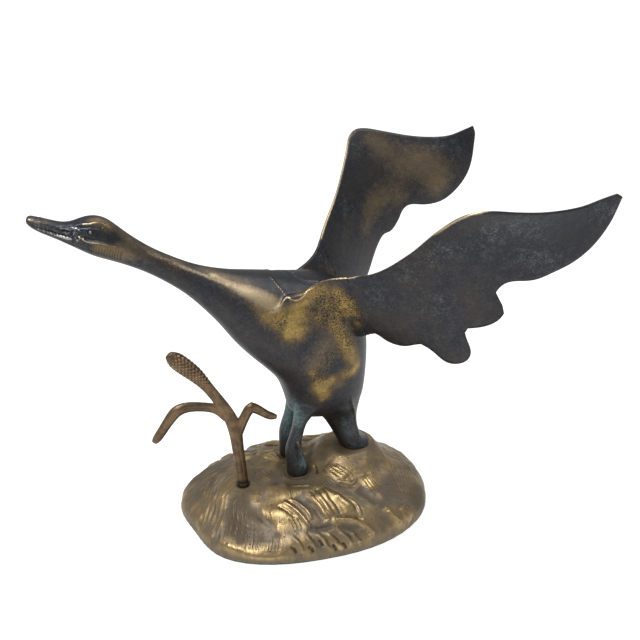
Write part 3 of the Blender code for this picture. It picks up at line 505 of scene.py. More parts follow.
TEETH, PULL, TWIST = 26, 0.05, 0.006
wiped = np.ones(len(grass.points))
for (x, y), radius in SEATS.items():
    distance = np.hypot(grass.points[:, 0] - x, grass.points[:, 1] - y)
    wiped *= np.clip((distance - radius) / WIPED_EDGE, 0, 1)
wiped *= np.clip((grass.points[:, 2] - low.z / MM - RIM) / RIM_EDGE, 0, 1)
away = grass.places[:, :2] - np.array((heart.x, heart.y + 12 * MM)) / MM
around = np.arctan2(away[:, 1], away[:, 0]) - TWIST * np.hypot(*away.T)
downhill = np.hypot(*away.T) - grass.points[:, 2]
combed = [
    noise.noise((TEETH * angle, PULL * fall, 0)) for angle, fall in zip(around, downhill)]
flanks = np.clip((np.abs(grass.points[:, 0] - 5) - FLANK) / FLANK_EDGE, 0, 1)
grass.lift += (0.15 + 0.35 * flanks) * np.array(combed)
grass.lift *= wiped
grass.store("around", around)
grass.store("downhill", downhill)
# the low band stored here under foot is painted shade
grass.store("foot", np.clip((PAINTED_SHADE_BELOW - grass.points[:, 2]) / PAINTED_SHADE_EDGE, 0, 1))
for name, centres in PATCHES.items():
    grass.store(name, grass.soft_union(centres + opposite(centres)))
grass.apply()
finished(mound, "antique_brass", "mound_base")

# %% [markdown]
# The reed is a thin casting in brown bronze: a bent stem, two leaves and a cattail. The cattail has
# a pebbled skin, made here by two families of grooves that cross over its length.

# %% Reed skin
reed = welded_copy("reed_skin", ["reed_spray"])
subdivided(reed, 2)
even_grid(reed, size=0.5 * MM)
stem = Carving(reed, 3)
FOOT_OF_HEAD = np.array((-74, -16, 127.0))
TOP_OF_HEAD = np.array((-99, -16, 155.0))
HEAD_RADIUS = 9
PEBBLE = 3.4
head_run = TOP_OF_HEAD - FOOT_OF_HEAD
head_length = np.linalg.norm(head_run)
head_run /= head_length
offset = stem.points - FOOT_OF_HEAD
along_head = offset @ head_run
around_head = np.arctan2(offset[:, 1], offset @ np.cross(head_run, (0, 1, 0)))
inside = np.clip(along_head / 4, 0, 1) * np.clip((head_length - along_head) / 3, 0, 1)
inside[np.linalg.norm(offset - along_head[:, None] * head_run, axis=1) > HEAD_RADIUS] = 0
right_hand = np.sin(np.pi * (along_head / PEBBLE + 4 * around_head / np.pi))
left_hand = np.sin(np.pi * (along_head / PEBBLE - 4 * around_head / np.pi))
stem.lift += 0.9 * inside * (np.abs(right_hand * left_hand) ** 0.6 - 0.5)
for corners in (
    [(-50.5, -19, 38), (-51.5, -19, 52), (-53, -19.2, 66), (-55, -19.4, 80), (-58, -19.4, 94)],
    [(-54, -18.6, 40), (-55.5, -18.4, 60), (-57, -18.4, 78)],
    [(-62, -19, 102), (-74, -18.6, 109), (-91, -18.9, 111.5), (-101, -18.9, 106),
     (-111, -18.5, 92)],
    [(-53, -18.6, 82), (-48, -18.9, 95), (-42, -19.1, 103), (-34, -18.6, 99), (-25, -18, 93)],
    [(-60, -19, 102), (-66, -18.8, 113), (-72, -18.8, 123)],
):
    stem.ridge(corners, -0.45, 0.6)
for knee in ((-42, -18.8, 104.5), (-96, -18.8, 111), (-57, -19.4, 92), (-81, -19, 137)):
    stem.dome(knee, 0.5, 3)
stem.store("foot", np.clip((40 - stem.points[:, 2]) / 3, 0, 1))
stem.apply()
finished(reed, "brown_bronze", "reed_spray")

# %% [markdown]
# The goose itself is one casting from bill to tail. The wings are cast apart and brazed on, so the
# body's skin is rebuilt with the wing roots in place and then cut at the two joints, which leaves a
# hairline seam with the same surface on both sides.

# %% Goose skin
JOINT_NORMAL = Vector((0.729, 0.673, 0.122)).normalized()
JOINT_POINT = (Vector((34.5, 37.5, 187.5)) + 0.27 * JOINT_NORMAL) * MM
BACK_OF_HEAD = -118 * MM
CUT_POINTS, CUT_FACES = 25 * MM, 20 * MM
goose = welded_copy("goose_skin", ["goose_body", "left_wing", "right_wing"], math.radians(50))
subdivided(goose, 2)
even_grid(goose, size=1 * MM)
whole = Carving(goose, 4)
bm = bmesh.new()
bm.from_mesh(goose.data)
for side in (-1, 1):
    point = Vector((JOINT_POINT.x, side * JOINT_POINT.y, JOINT_POINT.z))
    normal = Vector((JOINT_NORMAL.x, side * JOINT_NORMAL.y, JOINT_NORMAL.z))
    geometry = [v for v in bm.verts if v.co.y * side > CUT_POINTS]
    for kind in (bm.edges, bm.faces):
        geometry += [item for item in kind if all(v.co.y * side > CUT_FACES for v in item.verts)]
    bmesh.ops.bisect_plane(bm, geom=geometry, plane_co=point, plane_no=normal, clear_outer=True)
bmesh.ops.holes_fill(bm, edges=[e for e in bm.edges if e.is_boundary])
quartered(bm, [face for face in bm.faces if face.calc_center_median().x < BACK_OF_HEAD])
bm.to_mesh(goose.data)
bm.free()
print("goose faces", len(goose.data.polygons))
body = Carving(goose)

# %% [markdown]
# The head is worked with small tools: a bead for each eye in a sunk socket, a brow over it, a
# cheek fold behind the bill, a slit nostril, and a mouth line with a toothed edge. What is cut on
# the left side is cut on the right as well.

# %% Head
EYE = (-143, -10, 250.7)
BROW = [
    (-153, -6, 255.5), (-147, -7.5, 256), (-143, -8, 256.2), (-139, -7.4, 256.5),
    (-135, -7.2, 255), (-130, -7.6, 251.5), (-126, -8, 247)]
CHEEK = [
    (-151, -10, 248.6), (-148.4, -10.7, 246.6), (-146, -11, 245), (-143, -11.4, 244.2),
    (-138, -11.8, 243.4), (-133.5, -11.6, 242), (-128, -11, 239.6)]


def both(corners, height, width, taper=0.2):
    """A ridge or a groove on the goose's left side, and the same on its right."""
    body.ridge(corners, height, width, True, taper)


for *centre, height, radius in (
    (-148, -9.6, 250.4, -1, 3), (-143, -10.4, 250.6, -1.2, 4.5), (-137, -11, 248.6, -0.9, 4),
    (-131.5, -11, 245.4, -0.5, 3.5), (*EYE, 2.4, 1.7), (-175.4, -3.4, 260.4, -0.9, 0.7),
    (-180.5, -3, 261, 0.8, 2.4),
):
    body.dome(centre, height, radius, True)
body.dome((-135.4, -8.5, 253.8), -1.2, 0.6)
body.ring(EYE, 2.9, 0.35, 0.5, True)
body.ring(EYE, 2.2, -0.6, 0.4, True)
both(BROW, 0.9, 1.5)
both([(-153, -7, 253.8), (-147, -8.2, 254.4), (-142, -8.8, 254.4), (-137, -9.4, 253),
      (-133, -10.2, 250.2), (-129, -10.6, 246)], -0.7, 0.9)
both(CHEEK, 0.9, 0.6)
both([(-149, -10.7, 248.8), (-146, -11, 247), (-143, -11.4, 246.2), (-138, -11.8, 245.4),
      (-133, -11.6, 243.8)], -0.6, 0.8)
both([(-180, -4.8, 259.2), (-176.8, -6, 256.2), (-172.7, -6.6, 254.2), (-168.5, -6.9, 252.8),
      (-163.8, -7.3, 250.8), (-160, -7.8, 249.4), (-155.5, -8.8, 248.2)], -0.9, 0.5)
both([(-172.7, -6.6, 253), (-168.5, -6.9, 251.4), (-163.8, -7.4, 249.4), (-160, -7.9, 248),
      (-156.5, -8.6, 247)], 0.8, 0.5)
comb([(-173.5, -6.4, 254.4), (-173, -6.6, 252.4)], [(-157, -8.2, 248.8), (-156.5, -8.5, 246.8)],
     9, both, -0.5, 0.35, 0)
both([(-177, -3, 261), (-173, -5, 258.6), (-168, -5.3, 257), (-164, -5.7, 255.2),
      (-160.5, -6.6, 253.6)], 0.5, 0.7)
both([(-161, -7, 252.9), (-157, -7.7, 251.9)], -1.2, 0.6, 0)
both([(-162.5, -6.4, 254), (-158.5, -6.8, 253.8), (-155.4, -7.8, 252)], 0.6, 0.6)
both([(-156, -4.5, 255.6), (-155.2, -8, 252), (-155, -9, 248.5), (-154.5, -8.4, 245)], -0.5, 0.6)
for centre in ((-152, -9.8, 247.3), (-149.2, -10.4, 247.2)):
    body.ring(centre, 1.4, 0.6, 0.4, True)
    body.dome(centre, -0.6, 0.6, True)
for centre in (
    (-156, -6.4, 254.6), (-153, -6.6, 255), (-151.4, -8, 253.7), (-153.7, -9, 250.6),
    (-152.3, -9.4, 245.4), (-151.5, -9.6, 250.6), (-150, -9.2, 252.4), (-158.5, -7.6, 250.2),
    (-154.8, -7.6, 253), (-150.4, -9, 254.6),
):
    body.dome(centre, 0.6, 0.7, True)
both([(-164, -6.2, 247), (-157, -6.9, 243.6), (-150, -7.4, 240.6), (-143, -8.4, 238)], -0.5, 0.7)
comb([(-145, -11.3, 243), (-146, -10.4, 239.6), (-146, -8.4, 237)],
     [(-124, -10.4, 237), (-125.5, -9.2, 232.6), (-126, -7.2, 229)],
     13, both, -0.9, 0.55)

# %% [markdown]
# On the shoulder the wax tool left sharp folds: a ridge that dips and climbs into the wing's front
# edge, and a crease that runs up to the back of the neck. The legs have a web along the rear, and
# the tail stands on the mound with a ridge down its side.

# %% Shoulder, legs and tail
FRONT_RIDGE = [
    (-33, -26, 187), (-23.6, -27, 188), (-18.3, -26.5, 191.8), (-14.5, -26.5, 196.5),
    (-12, -28.5, 195.6), (-8.4, -28.3, 194.4), (-4.7, -28.3, 195.7), (-1, -28.6, 199.3),
    (2.7, -28, 202.5), (7, -29, 205.6), (12, -33, 208.8), (20.5, -40.5, 212.8), (28, -46, 215)]
CREASE = [
    (-23, -7, 205.6), (-21.7, -10, 205), (-19.4, -16, 202.4), (-16.7, -20.4, 199.2),
    (-14.4, -26.2, 196.7)]
FAR_CREASE = [
    (-9, 12, 203), (-6.6, 7.5, 203), (-4, -1.3, 203), (-0.3, -7.7, 202.2), (5.5, -11.4, 201.1),
    (13, -11.4, 200.3)]
both(FRONT_RIDGE, 0.8, 1.3)
both(CREASE, 0.4, 1)
both([(-20, -8, 205), (-17, -14, 202.4), (-14, -19, 199.6), (-11.5, -24, 197)], -0.35, 2.4)
body.ridge(FAR_CREASE, 0.35, 1)
body.ridge([(-6, 0, 203), (-1, -10, 201), (6, -15, 200), (13, -16, 199)], -0.3, 2.2)
both([(31.8, -36.5, 180), (31.4, -33.6, 174), (34, -30.4, 167)], -0.9, 2.2)
both([(28, -37, 182), (27, -33.5, 174), (29.5, -30.6, 165)], 0.6, 1.6)
both([(26, -30, 163), (31, -28.8, 155), (37, -26, 144), (41.5, -23, 133)], 0.7, 2.4)
both([(-7.5, -21, 71), (-6.6, -20.4, 67.7), (-3.8, -18.8, 57.6), (-0.6, -18.9, 47.3),
      (1.5, -19.5, 40)], 1, 1.1)
both([(-9, -20.4, 66), (-7, -19.6, 56), (-5, -20.4, 46)], -0.6, 1.2)
both([(36, -20, 104), (40, -15, 92), (44.2, -8.5, 79), (46.8, -6.8, 64), (50.4, -9.4, 53.6)],
     1, 1.3)
both([(-10.2, -6.8, 96.2), (-8.6, -11, 94), (-6, -15, 92)], -0.7, 1.2)
both([(33, -5.8, 53), (40, -12.4, 50.6), (47, -14.4, 49.6), (54, -11.8, 49.6)], -0.6, 0.9)
body.apply()

# %% [markdown]
# The wings are thin plates with a soft hollow. They carry few tool marks, so their skins are only
# rounded. Next to the joint each wing is drawn onto the body's surface, as a brazed seam is filed
# flush.

# %% Wing skins
SEAM = 7
wings = []
for name, side in (("left_wing", -1), ("right_wing", 1)):
    wing = welded_copy(name + "_skin", [name])
    subdivided(wing, 2)
    points = floats(wing.data.vertices, "co", len(wing.data.vertices), 3) / MM
    beyond = (points * (1, side, 1) - np.array(JOINT_POINT) / MM) @ np.array(JOINT_NORMAL)
    for index in np.flatnonzero((beyond > -0.5) & (beyond < SEAM)):
        nearest, _, _, gap = whole.tree.find_nearest(Vector(points[index]))
        if gap < 1:
            pull = 1 - max(0, beyond[index]) / SEAM
            points[index] += pull * (np.array(nearest) - points[index])
    wing.data.vertices.foreach_set("co", (points * MM).ravel())
    wings.append(Carving(wing))

# %% [markdown]
# Colour follows use. Hands rub the shoulder, the root of the neck and the low belly, so these turn
# gold; brown clouds stay where the torch heated the patina; green verdigris forms where water sits,
# behind the legs and at the tail. A painted highlight along the top of the neck, painted highlights
# along ridges and edges, and painted glints on the bill are stored beside them. Each is a field of
# soft spots or lines, stored on the body and on both wings alike, so that a patch runs on across the
# brazed joint.

# %% Where the goose is rubbed, pitted, brown and green, and where highlights are painted
FIELDS = {
    "gold": [
        (-37, -21, 191, 6), (-31, -26, 184, 7), (-24, -28, 177, 7), (-25, -24, 195, 6),
        (-20, -28, 186, 8), (-13, -30, 176, 9), (-6, -31, 168, 9), (-15, -30, 167, 7),
        (-6, -30, 181, 9), (-8, -28, 188, 8), (-1, -28, 194, 8), (3, -30, 200, 7),
        (9, -34, 203, 7), (18, -38, 202, 8), (25, -39, 195, 8), (31, -39, 185, 8),
        (36, -35, 174, 7), (22, -32, 181, 6), (19, -31, 172, 7), (24, -31, 165, 8),
        (28, -30, 157, 9), (32, -29, 149, 9), (36, -27, 141, 8), (40, -24, 132, 7),
        (14, -31, 189, 9), (8, -30, 178, 7), (27, -36, 188, 8), (-135, -10, 239, 4),
        (-140, -10.5, 241, 4), (-129, -10, 237, 4), (-139, -5, 258, 5), (-131, -6, 253, 6),
        (3, -30, 135, 6), (8, -29, 126, 8), (14, -27, 116, 9), (6, -28, 118, 6), (12, -26, 109, 7),
        (19, -29, 125, 7), (29, -28, 129, 6), (37, -25, 127, 6)],
    "pitted": [
        (10, -32, 194, 10), (20, -35, 190, 12), (27, -38, 196, 10), (14, -31, 178, 11),
        (33, -39, 184, 9), (26, -31, 168, 8), (-20, -28, 178, 7), (8, -29, 130, 9),
        (16, -30, 146, 9), (30, -30, 154, 8)],
    "brownish": [
        (-140, -10, 240, 7), (-134, -9, 238, 8), (-126, -9, 235, 8), (-140, -7, 256, 8),
        (-131, -5, 254, 7), (-120, -4, 243, 12), (-172, -3, 258, 6), (-180, -3, 261, 4),
        (-118, -9, 233, 8), (-103, -5, 233, 10), (-88, -5, 223, 10), (-68, -2, 215, 8),
        (-60, -8, 211, 9), (-50, -13, 206, 9), (-42, -18, 201, 10), (-33, -24, 192, 10),
        (-29, -27, 183, 9), (14, -31, 152, 15), (20, -32, 172, 12), (5, -29, 140, 12),
        (24, -27, 120, 9), (94, 114, 273, 12), (105, 110, 265, 15), (100, 94, 230, 14),
        (90, 89, 227, 13), (83, 83, 217, 12), (77, 76, 206, 9), (144, 101, 251, 17),
        (152, 98, 243, 15), (148, 97, 234, 12), (132, 104, 256, 17), (118, 104, 250, 15),
        (115, 97, 228, 12)],
    "pale": [
        (67, -84, 238, 9), (75, -94, 247, 9), (98, -105, 254, 13), (94, -113, 266, 8),
        (113, -114, 267, 10), (128, -110, 262, 10), (129, -102, 242, 12), (147, -99, 234, 11),
        (172, -105, 271, 8), (183, -104, 268, 7), (57, -71, 225, 9), (44, -53, 200, 8),
        (78, -76, 201, 10), (78, 105, 268, 7), (60, 72, 230, 10), (55, 60, 214, 8),
        (153, 104, 267, 8), (165, 101, 262, 8), (30, 34, 200, 8), (-12, -14, 104, 9),
        (-176, -5, 257, 6), (-169, -6, 255, 6), (-162, -7, 252, 6), (-157, -8, 249, 5),
        (-151, -9, 248, 5), (-147, -10, 252, 5), (-5, -18, 92, 8), (-4, -18, 78, 8),
        (-3, -19, 64, 8), (-2, -19, 52, 8), (-3, -18, 42, 8), (38, -14, 92, 8), (43, -11, 78, 8),
        (46, -9, 66, 8), (50, -10, 56, 7)],
    "deep": [
        (118, -106, 258, 22), (142, -103, 252, 24), (168, -104, 258, 22), (92, -104, 256, 16),
        (-20, -2, 206, 13), (-6, -6, 204, 13), (8, -6, 201, 13), (20, 4, 199, 14),
        (-163, -6, 252, 6), (-152, -8, 250, 6), (-144, -10, 250, 6), (-138, -11, 249, 5),
        (-132, -11, 247, 5), (-127, -11, 245, 4)],
    # painted highlight: a pale gold streak along the top of the neck down to the shoulder, where
    # light catches the ridge
    "painted_neck_highlight": [
        (-65, -8, 212, 2.4), (-62, -9, 211, 2.8), (-58, -11, 209, 3), (-54, -13, 207, 3.5),
        (-50, -15, 205, 3.5), (-46, -17, 203, 4.5), (-42, -18.5, 201, 5), (-38, -20, 199, 5.5),
        (-34, -22, 197, 6), (-30, -24, 195, 6.5), (-26, -25, 192, 6.5), (-22, -26, 190, 4)],
    "verdigris": [
        (-9, 8, 88, 7), (-9, 8, 80, 8), (-9, 8, 68, 8), (-8, 8, 58, 7), (-9, 8, 84, 6),
        (-9, 8, 74, 6), (-12, -14, 102, 9), (-8, -15, 94, 9), (-5, -18, 86, 7),
        (-3, -18.6, 56, 2.5), (-2, -19, 50, 2.5), (0, -19, 45, 3), (0, -12, 88, 9), (8, -8, 90, 8),
        (-4, -18, 72, 5), (-3, -19, 60, 5), (-2, -19, 48, 7), (-4, -17, 40, 8), (28, -14, 98, 7),
        (34, -14, 92, 7), (32, -8, 82, 6), (36, -9, 72, 6), (40, -10, 62, 4), (31, -36, 178, 3)],
}
LINES = {
    # painted highlights along the neck, the shoulder ridge and creases, the brow, the cheek fold,
    # the bill's nail and the wings' front edges, and a painted glint on each eye
    "rim_light": [
        ([(-107, -5.8, 232.3), (-97, -5.6, 226), (-86, -6.4, 220)], 3, 0.5),
        ([(-86, -6.4, 220), (-76, -7.4, 215), (-65, -9.9, 210), (-54, -13.7, 205.3)], 2.4, 0.62),
        (FRONT_RIDGE[1:], 0.7, 0.9), (CREASE, 0.6, 0.72), (FAR_CREASE, 0.5, 0.66),
        (BROW[1:4], 0.9, 0.75), (BROW[3:6], 1.9, 0.42), (CHEEK[:5], 0.55, 0.85),
        (CHEEK[4:], 0.45, 0.6), ([(-180.5, -3.4, 260.4), (-178.5, -3.8, 260.2)], 0.8, 0.6),
        ([(-144, -11.6, 251.6), (-143.4, -11.8, 251.8)], 0.5, 1),
        ([(28, -46, 215), (39, -52, 219.5), (56, -75, 240.5), (65, -98, 261), (73, -115, 274.8),
          (80, -120.5, 279.2), (90, -120.5, 279.8), (106, -118.5, 277.2)], 1.1, 0.9),
        ([(30, 44, 213), (36, 53, 223), (52.5, 78, 242.5), (67, 103, 265.5), (73.5, 115.5, 277.5),
          (80, 120.5, 281.8)], 1.3, 0.9)],
    # painted glints along the bill's mouth line and on the base of the bill
    "silvery": [
        ([(-176, -6, 254.6), (-172.7, -6.6, 253), (-168.5, -6.9, 251.4), (-163.8, -7.4, 249.4)],
         0.7, 0.75),
        ([(-163.8, -7.4, 249.4), (-160, -7.9, 248), (-156.5, -8.6, 247)], 1.1, 1),
        ([(-154, -9, 250), (-153, -9.6, 247.5), (-151.5, -9.8, 245.6)], 0.5, 0.7),
        ([(-156, -6.6, 254.4), (-152.5, -7.6, 254.2), (-150, -8.6, 252.6)], 0.6, 0.7),
        ([(-150, -9.6, 250.6), (-147.5, -10.4, 249.2), (-144.5, -11, 248.4)], 0.5, 0.6)],
}
for part in (body, *wings):
    for name, centres in FIELDS.items():
        part.store(name, part.soft_union(centres, name != "painted_neck_highlight"))
    for name, runs in LINES.items():
        lines = [
            strength * part.line(corners, width, part is body)
            for corners, width, strength in runs]
        part.store(name, np.max(lines, axis=0))
    if part is not body:
        part.apply()
        finished(part.skin, "dark_bronze", part.skin.name.removesuffix("_skin"))
finished(goose, "dark_bronze", "goose_body")

# %% [markdown]
# A finish is built as the workshop builds it: first the metal, then a chemical colour over it, then
# the wear that takes it off again. Each layer is a mask and a colour. A small class gives the
# sockets of a material ordinary arithmetic, so that a mask reads as one line of sums.

# %% Arithmetic for finishes
class Signal:
    """A socket of a material, with arithmetic."""

    def __init__(self, finish, socket):
        self.finish = finish
        self.socket = socket

    def maths(self, operation, first, second):
        return self.finish.node("Math", {0: first, 1: second}, operation=operation)

    def __add__(self, other):
        return self.maths("ADD", self, other)

    def __sub__(self, other):
        return self.maths("SUBTRACT", self, other)

    def __rsub__(self, other):
        return self.maths("SUBTRACT", other, self)

    def __mul__(self, other):
        return self.maths("MULTIPLY", self, other)

    __radd__ = __add__
    __rmul__ = __mul__


class Finish:
    """A material and the few kinds of node that a patina needs."""

    def __init__(self, name):
        self.material = bpy.data.materials.new(name)
        self.material.use_nodes = True
        self.tree = self.material.node_tree
        self.shader = self.tree.nodes["Principled BSDF"]
        self.place = self.node("TexCoord", {}, "Object")

    def feed(self, socket, value):
        """Links a signal to a socket, or gives the socket a value of its own."""
        if isinstance(value, Signal):
            self.tree.links.new(value.socket, socket)
        else:
            socket.default_value = value

    def node(self, kind, values, output=0, **settings):
        """A new node of a kind, fed with values, as the signal that it gives."""
        made = self.tree.nodes.new("ShaderNode" + kind)
        for name, value in settings.items():
            setattr(made, name, value)
        for name, value in values.items():
            self.feed(made.inputs[name], value)
        return Signal(self, made.outputs[output])

    def noise(self, size, detail=3.0, rough=0.55):
        """Clouds from -0.5 to 0.5, with spots of about this size in millimetres."""
        return self.node("TexNoise", {
            "Vector": self.place, "Scale": 1 / (size * MM), "Detail": detail,
            "Roughness": rough}) - 0.5

    def flow(self, turns, falls, detail):
        """The same on a skin's own two coordinates, drawn out along its strokes."""
        place = self.node("CombineXYZ", {
            0: self.field("around") * turns, 1: self.field("downhill") * falls})
        return self.node("TexNoise", {"Vector": place, "Scale": 1, "Detail": detail}) - 0.5

    def cells(self, size):
        """How far a point is from the middle of its cell, of this size in millimetres."""
        return self.node("TexVoronoi", {"Vector": self.place, "Scale": 1 / (size * MM)})

    def field(self, name):
        """What the carving stored on the skin under this name."""
        return self.node("Attribute", {}, "Fac", attribute_name=name)

    def step(self, value, low, high):
        """A soft step between two values."""
        limits = {"Value": value, "From Min": low, "From Max": high}
        return self.node("MapRange", limits, interpolation_type="SMOOTHSTEP")

    def layered(self, base, *layers):
        """Colours laid over a base one after the other, each through its own mask."""
        for mask, *tone in layers:
            base = self.node("Mix", {0: mask, 6: base, 7: (*tone, 1)}, 2, data_type="RGBA")
        return base

    def set(self, **inputs):
        """Feeds the shader's sockets, by their names with underscores for spaces."""
        for name, value in inputs.items():
            self.feed(self.shader.inputs[name.replace("_", " ")], value)

    def bump(self, height, distance, strength):
        """A bump of this height in millimetres."""
        self.set(Normal=self.node("Bump", {
            "Height": height, "Distance": distance * MM, "Strength": strength}, "Normal"))


def report(finish):
    print(finish.material.name, len(finish.tree.nodes), "nodes")


# %% [markdown]
# Antique brass is yellow metal under an umber wash. The wash is brushed on and wiped off, so it
# stays in the cuts and in broad hollows, and what a cloth reaches shines. The brush leaves strokes
# that run down the slopes: a noise drawn out along two coordinates that the skin carries.

# %% Brass with umber in its hollows
brass = Finish("antique_brass_wash")
clouds = brass.noise(14, 4)
blotches = brass.noise(4, 3)
grain = brass.noise(0.9, 2)
dimples = brass.cells(3.2)
strokes = 0.6 * brass.flow(34, 0.07, 3) + 0.4 * brass.flow(95, 0.16, 2)
fine_relief = brass.field("stand_out") + 0.55 * strokes + 0.1 * blotches
wash = brass.step(brass.field("washed") + 0.5 * clouds + 0.5 * strokes, 0.15, 0.9)
polish = brass.step(brass.field("polished") + 0.4 * blotches, 0.15, 0.9)
broad_relief = brass.field("swelling") + 0.2 * polish - 0.25 * wash
broad_relief = broad_relief + 0.5 * clouds + 0.3 * blotches + 0.45 * strokes
# less gilding on the low band that faces down and out: painted shade
gilded = brass.step(broad_relief, 0.26, 0.75) * (1 - 0.6 * brass.field("foot"))
rubbed = brass.step(fine_relief, 0.53, 0.85)
crevice = brass.step(fine_relief + 0.2 * grain, 0.38, 0.16)
dirt = brass.step(dimples + 0.5 * grain, 0.26, 0.12) * brass.step(blotches, -0.05, 0.1)
tone = brass.layered(
    (0.118, 0.096, 0.071, 1),
    (gilded, 0.25, 0.18, 0.09),
    (polish * 0.5, 0.34, 0.25, 0.125),
    (wash * 0.8, 0.094, 0.072, 0.047),
    (rubbed * 0.55, 0.5, 0.37, 0.19),
    (crevice * 0.85, 0.035, 0.028, 0.02),
    (dirt * 0.75, 0.04, 0.032, 0.022))
brass.set(
    Specular_IOR_Level=0.2, Base_Color=tone, Metallic=0.6 + 0.32 * gilded - 0.1 * wash,
    Roughness=0.54 - 0.14 * gilded + 0.28 * wash - 0.06 * rubbed + 0.12 * grain)
brass.bump(0.5 * grain + 0.7 * blotches + 2.2 * strokes - 0.8 * dirt, 0.3, 0.7)
report(brass)

# %% [markdown]
# The reed was heated and brushed with iron salts until it turned an even brown. Its edges and the
# tops of its pebbles are rubbed, its grooves are dark, and so is the foot that stands in the hole.

# %% Brown bronze
brown = Finish("brown_bronze_patina")
scuffs = brown.noise(0.7, 2)
stem_height = brown.field("stand_out") + 0.2 * scuffs
foot = brown.field("foot")
heated = brown.step(brown.noise(7, 4), -0.15, 0.15)
brown_tone = brown.layered(
    (0.092, 0.062, 0.039, 1),
    (heated, 0.17, 0.112, 0.063),
    (brown.step(stem_height, 0.56, 0.8), 0.36, 0.25, 0.13),
    (brown.step(stem_height, 0.44, 0.25) * 0.85, 0.025, 0.018, 0.012),
    (foot * 0.85, 0.022, 0.02, 0.015))
brown.set(Base_Color=brown_tone, Metallic=0.85, Roughness=0.42 + 0.3 * foot)
brown.bump(scuffs, 0.1, 0.5)
report(brown)

# %% [markdown]
# The goose is nearly black: a sulphur patina over bronze, bluish where it is thick and brown where
# it is thin. Over it lie, in this order, brown clouds, pale dust, gold where hands rub it, casting
# pits in the gold, a painted highlight along the top of the neck, painted highlights along the
# edges and ridges with a painted glint on each eye, painted glints on the bill, and verdigris.
# Every mask is a stored field made ragged by noise of three sizes, because a patch of patina never
# has a clean outline.

# %% Dark bronze
dark = Finish("dark_bronze_patina")
weather = dark.noise(22, 4)
cloud = dark.noise(6, 4, 0.65)
mottle = dark.noise(1.8, 3, 0.65)
grit = dark.noise(0.75, 2, 0.7)
pits = dark.cells(1.3)
ragged = 0.55 * cloud + 0.35 * mottle + 0.45 * grit
skin_height = dark.field("stand_out")
deep = dark.field("deep")
pale = dark.field("pale")
verdigris = dark.field("verdigris")
wear = dark.field("gold") + ragged
tint = dark.step(weather + 0.3 * cloud, -0.2, 0.2)
greyish = dark.step(mottle + 0.4 * cloud, -0.15, 0.3)
browned = dark.step(dark.field("brownish") - 0.6 * deep + ragged, 0.2, 1.1)
fleck = dark.step(grit + 0.5 * mottle + 0.6 * cloud + 0.12 * pale, 0.08, 0.26)
gilt = dark.step(wear, 0.5, 1.15)
pitting = dark.step(dark.field("pitted") + 0.6 * cloud, 0.1, 0.6)
pitting = dark.step(pits + 0.5 * grit, 0.46, 0.32) * pitting
# painted highlight along the top of the neck and the shoulder
painted_neck_highlight = dark.step(dark.field("painted_neck_highlight") + 0.35 * mottle, 0.15, 1.1)
# painted highlights along ridges and edges, and a painted glint on each eye
painted_rim_highlight = dark.step(dark.field("rim_light") + 0.5 * mottle + 0.4 * grit, 0.3, 0.9)
# painted glints on the bill
painted_bill_glint = dark.step(dark.field("silvery") + 1.1 * mottle + 0.8 * grit, 0.4, 1)
damp = dark.step(verdigris + 0.4 * cloud, 0.1, 0.75)
green = dark.step(verdigris + 1.2 * mottle + 0.8 * grit, 0.4, 1.05)
patina = dark.layered(
    (0.027, 0.029, 0.036, 1),
    (tint, 0.043, 0.039, 0.037),
    (greyish * 0.5, 0.068, 0.066, 0.066),
    (deep * 0.8, 0.016, 0.019, 0.026),
    (browned * 0.85, 0.165, 0.122, 0.075),
    (fleck * (0.08 + 0.92 * pale) * 0.7, 0.16, 0.195, 0.195),
    (dark.step(wear, 0.15, 0.75) * 0.85, 0.13, 0.09, 0.044),
    (gilt * 0.95, 0.43, 0.295, 0.086),
    (pitting * 0.95, 0.025, 0.022, 0.018),
    (painted_neck_highlight * 0.8, 0.55, 0.43, 0.27),
    (painted_rim_highlight * 0.9, 0.46, 0.36, 0.22),
    (painted_bill_glint * 0.85, 0.5, 0.5, 0.47),
    (dark.step(skin_height, 0.58, 0.9) * 0.55, 0.3, 0.25, 0.17),
    (dark.step(skin_height, 0.44, 0.2) * 0.7, 0.014, 0.015, 0.018),
    (damp * 0.7, 0.066, 0.08, 0.086),
    (green * 0.8, 0.1, 0.195, 0.187))
dark.set(
    Base_Color=patina, Metallic=0.92 - 0.75 * green,
    Roughness=0.46 - 0.12 * painted_neck_highlight - 0.06 * gilt + 0.3 * green)
dark.bump(0.6 * grit + 0.8 * mottle - 1.4 * pitting, 0.14, 0.6)

report(dark)

# %% [markdown]
# The fasteners and the felt sit inside and under the mound. They get their own finish too: bright
# zinc plate with a faint grain, and dark green felt with a nap.

# %% Zinc, felt, and what wears what
zinc = Finish("zinc_plate")
plate = zinc.layered((0.5, 0.5, 0.48, 1), (0.5 + zinc.noise(3), 0.62, 0.62, 0.6))
zinc.set(Base_Color=plate, Metallic=1, Roughness=0.35)
zinc.bump(zinc.noise(0.5), 0.02, 0.4)

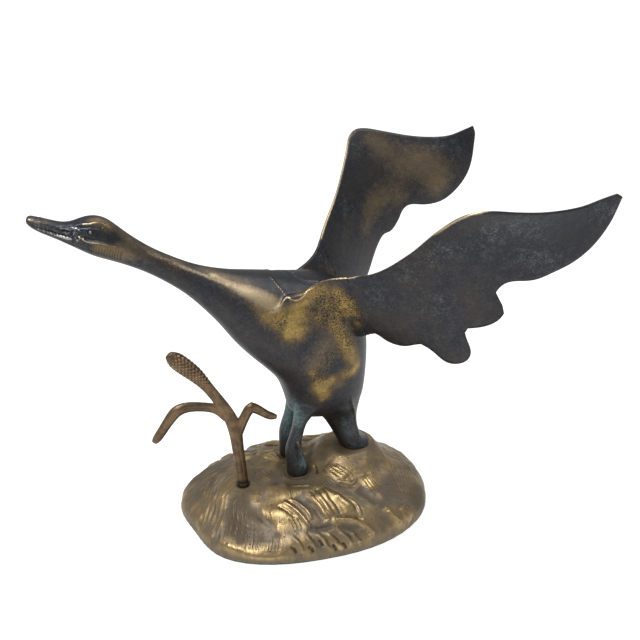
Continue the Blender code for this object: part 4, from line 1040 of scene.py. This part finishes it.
felt = Finish("green_felt")
nap = felt.layered((0.02, 0.045, 0.03, 1), (0.5 + felt.noise(0.6), 0.05, 0.09, 0.06))
felt.set(Base_Color=nap, Roughness=0.95)
felt.bump(felt.noise(0.4), 0.15, 0.8)

worn_by = {mound: brass, reed: brown, goose: dark, wings[0].skin: dark, wings[1].skin: dark}
for skin, finish in worn_by.items():
    skin.data.materials.clear()
    skin.data.materials.append(finish.material)
for name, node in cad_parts.items():
    if name == "felt_pad" or name.endswith(("screw", "washer", "nut")):
        for slot in node.material_slots:
            slot.material = (felt if name == "felt_pad" else zinc).material
report(zinc)
report(felt)

# %% [markdown]
# Dark metal shows its surroundings more than itself. A white paper floor that glows softly gives
# the white ground of a catalogue picture, and dim even surroundings keep the undersides readable.
# One softbox high on the left draws the highlights along the shoulder, the brow and the tops of
# the grass, and a weaker one overhead fills the backs of the wings.

# %% Floor and lights
world = bpy.data.worlds.new("studio")
world.use_nodes = True
background = world.node_tree.nodes["Background"]
background.inputs["Color"].default_value = (1, 1, 1, 1)
background.inputs["Strength"].default_value = 0.5
bpy.context.scene.world = world

bm = bmesh.new()
bmesh.ops.create_grid(bm, x_segments=1, y_segments=1, size=14)
floor_mesh = bpy.data.meshes.new("floor")
bm.to_mesh(floor_mesh)
bm.free()
floor = link("floor", floor_mesh)
floor.location = (0, 0, -0.0005)
paper = Finish("white_paper")
paper.set(
    Base_Color=(0.3, 0.3, 0.3, 1), Roughness=0.9, Emission_Color=(1, 1, 1, 1),
    Emission_Strength=0.9)
floor.data.materials.append(paper.material)


def softbox(name, place, size, power):
    """A lamp with a flat rectangular face, aimed at the middle of the goose."""
    data = bpy.data.lights.new(name, "AREA")
    data.shape = "RECTANGLE"
    data.size, data.size_y = size
    data.energy = power
    lamp = bpy.data.objects.new(name, data)
    lamp.location = place
    lamp.rotation_euler = (MIDDLE - lamp.location).to_track_quat("-Z", "Y").to_euler()
    bpy.context.scene.collection.objects.link(lamp)


MIDDLE = Vector((0, 0, 0.12))
softbox("key", (-0.50, -0.30, 1.15), (0.7, 0.5), 17)
softbox("top", (0.35, 0.25, 1.4), (0.9, 0.9), 8)
bpy.context.scene.view_settings.view_transform = "Standard"
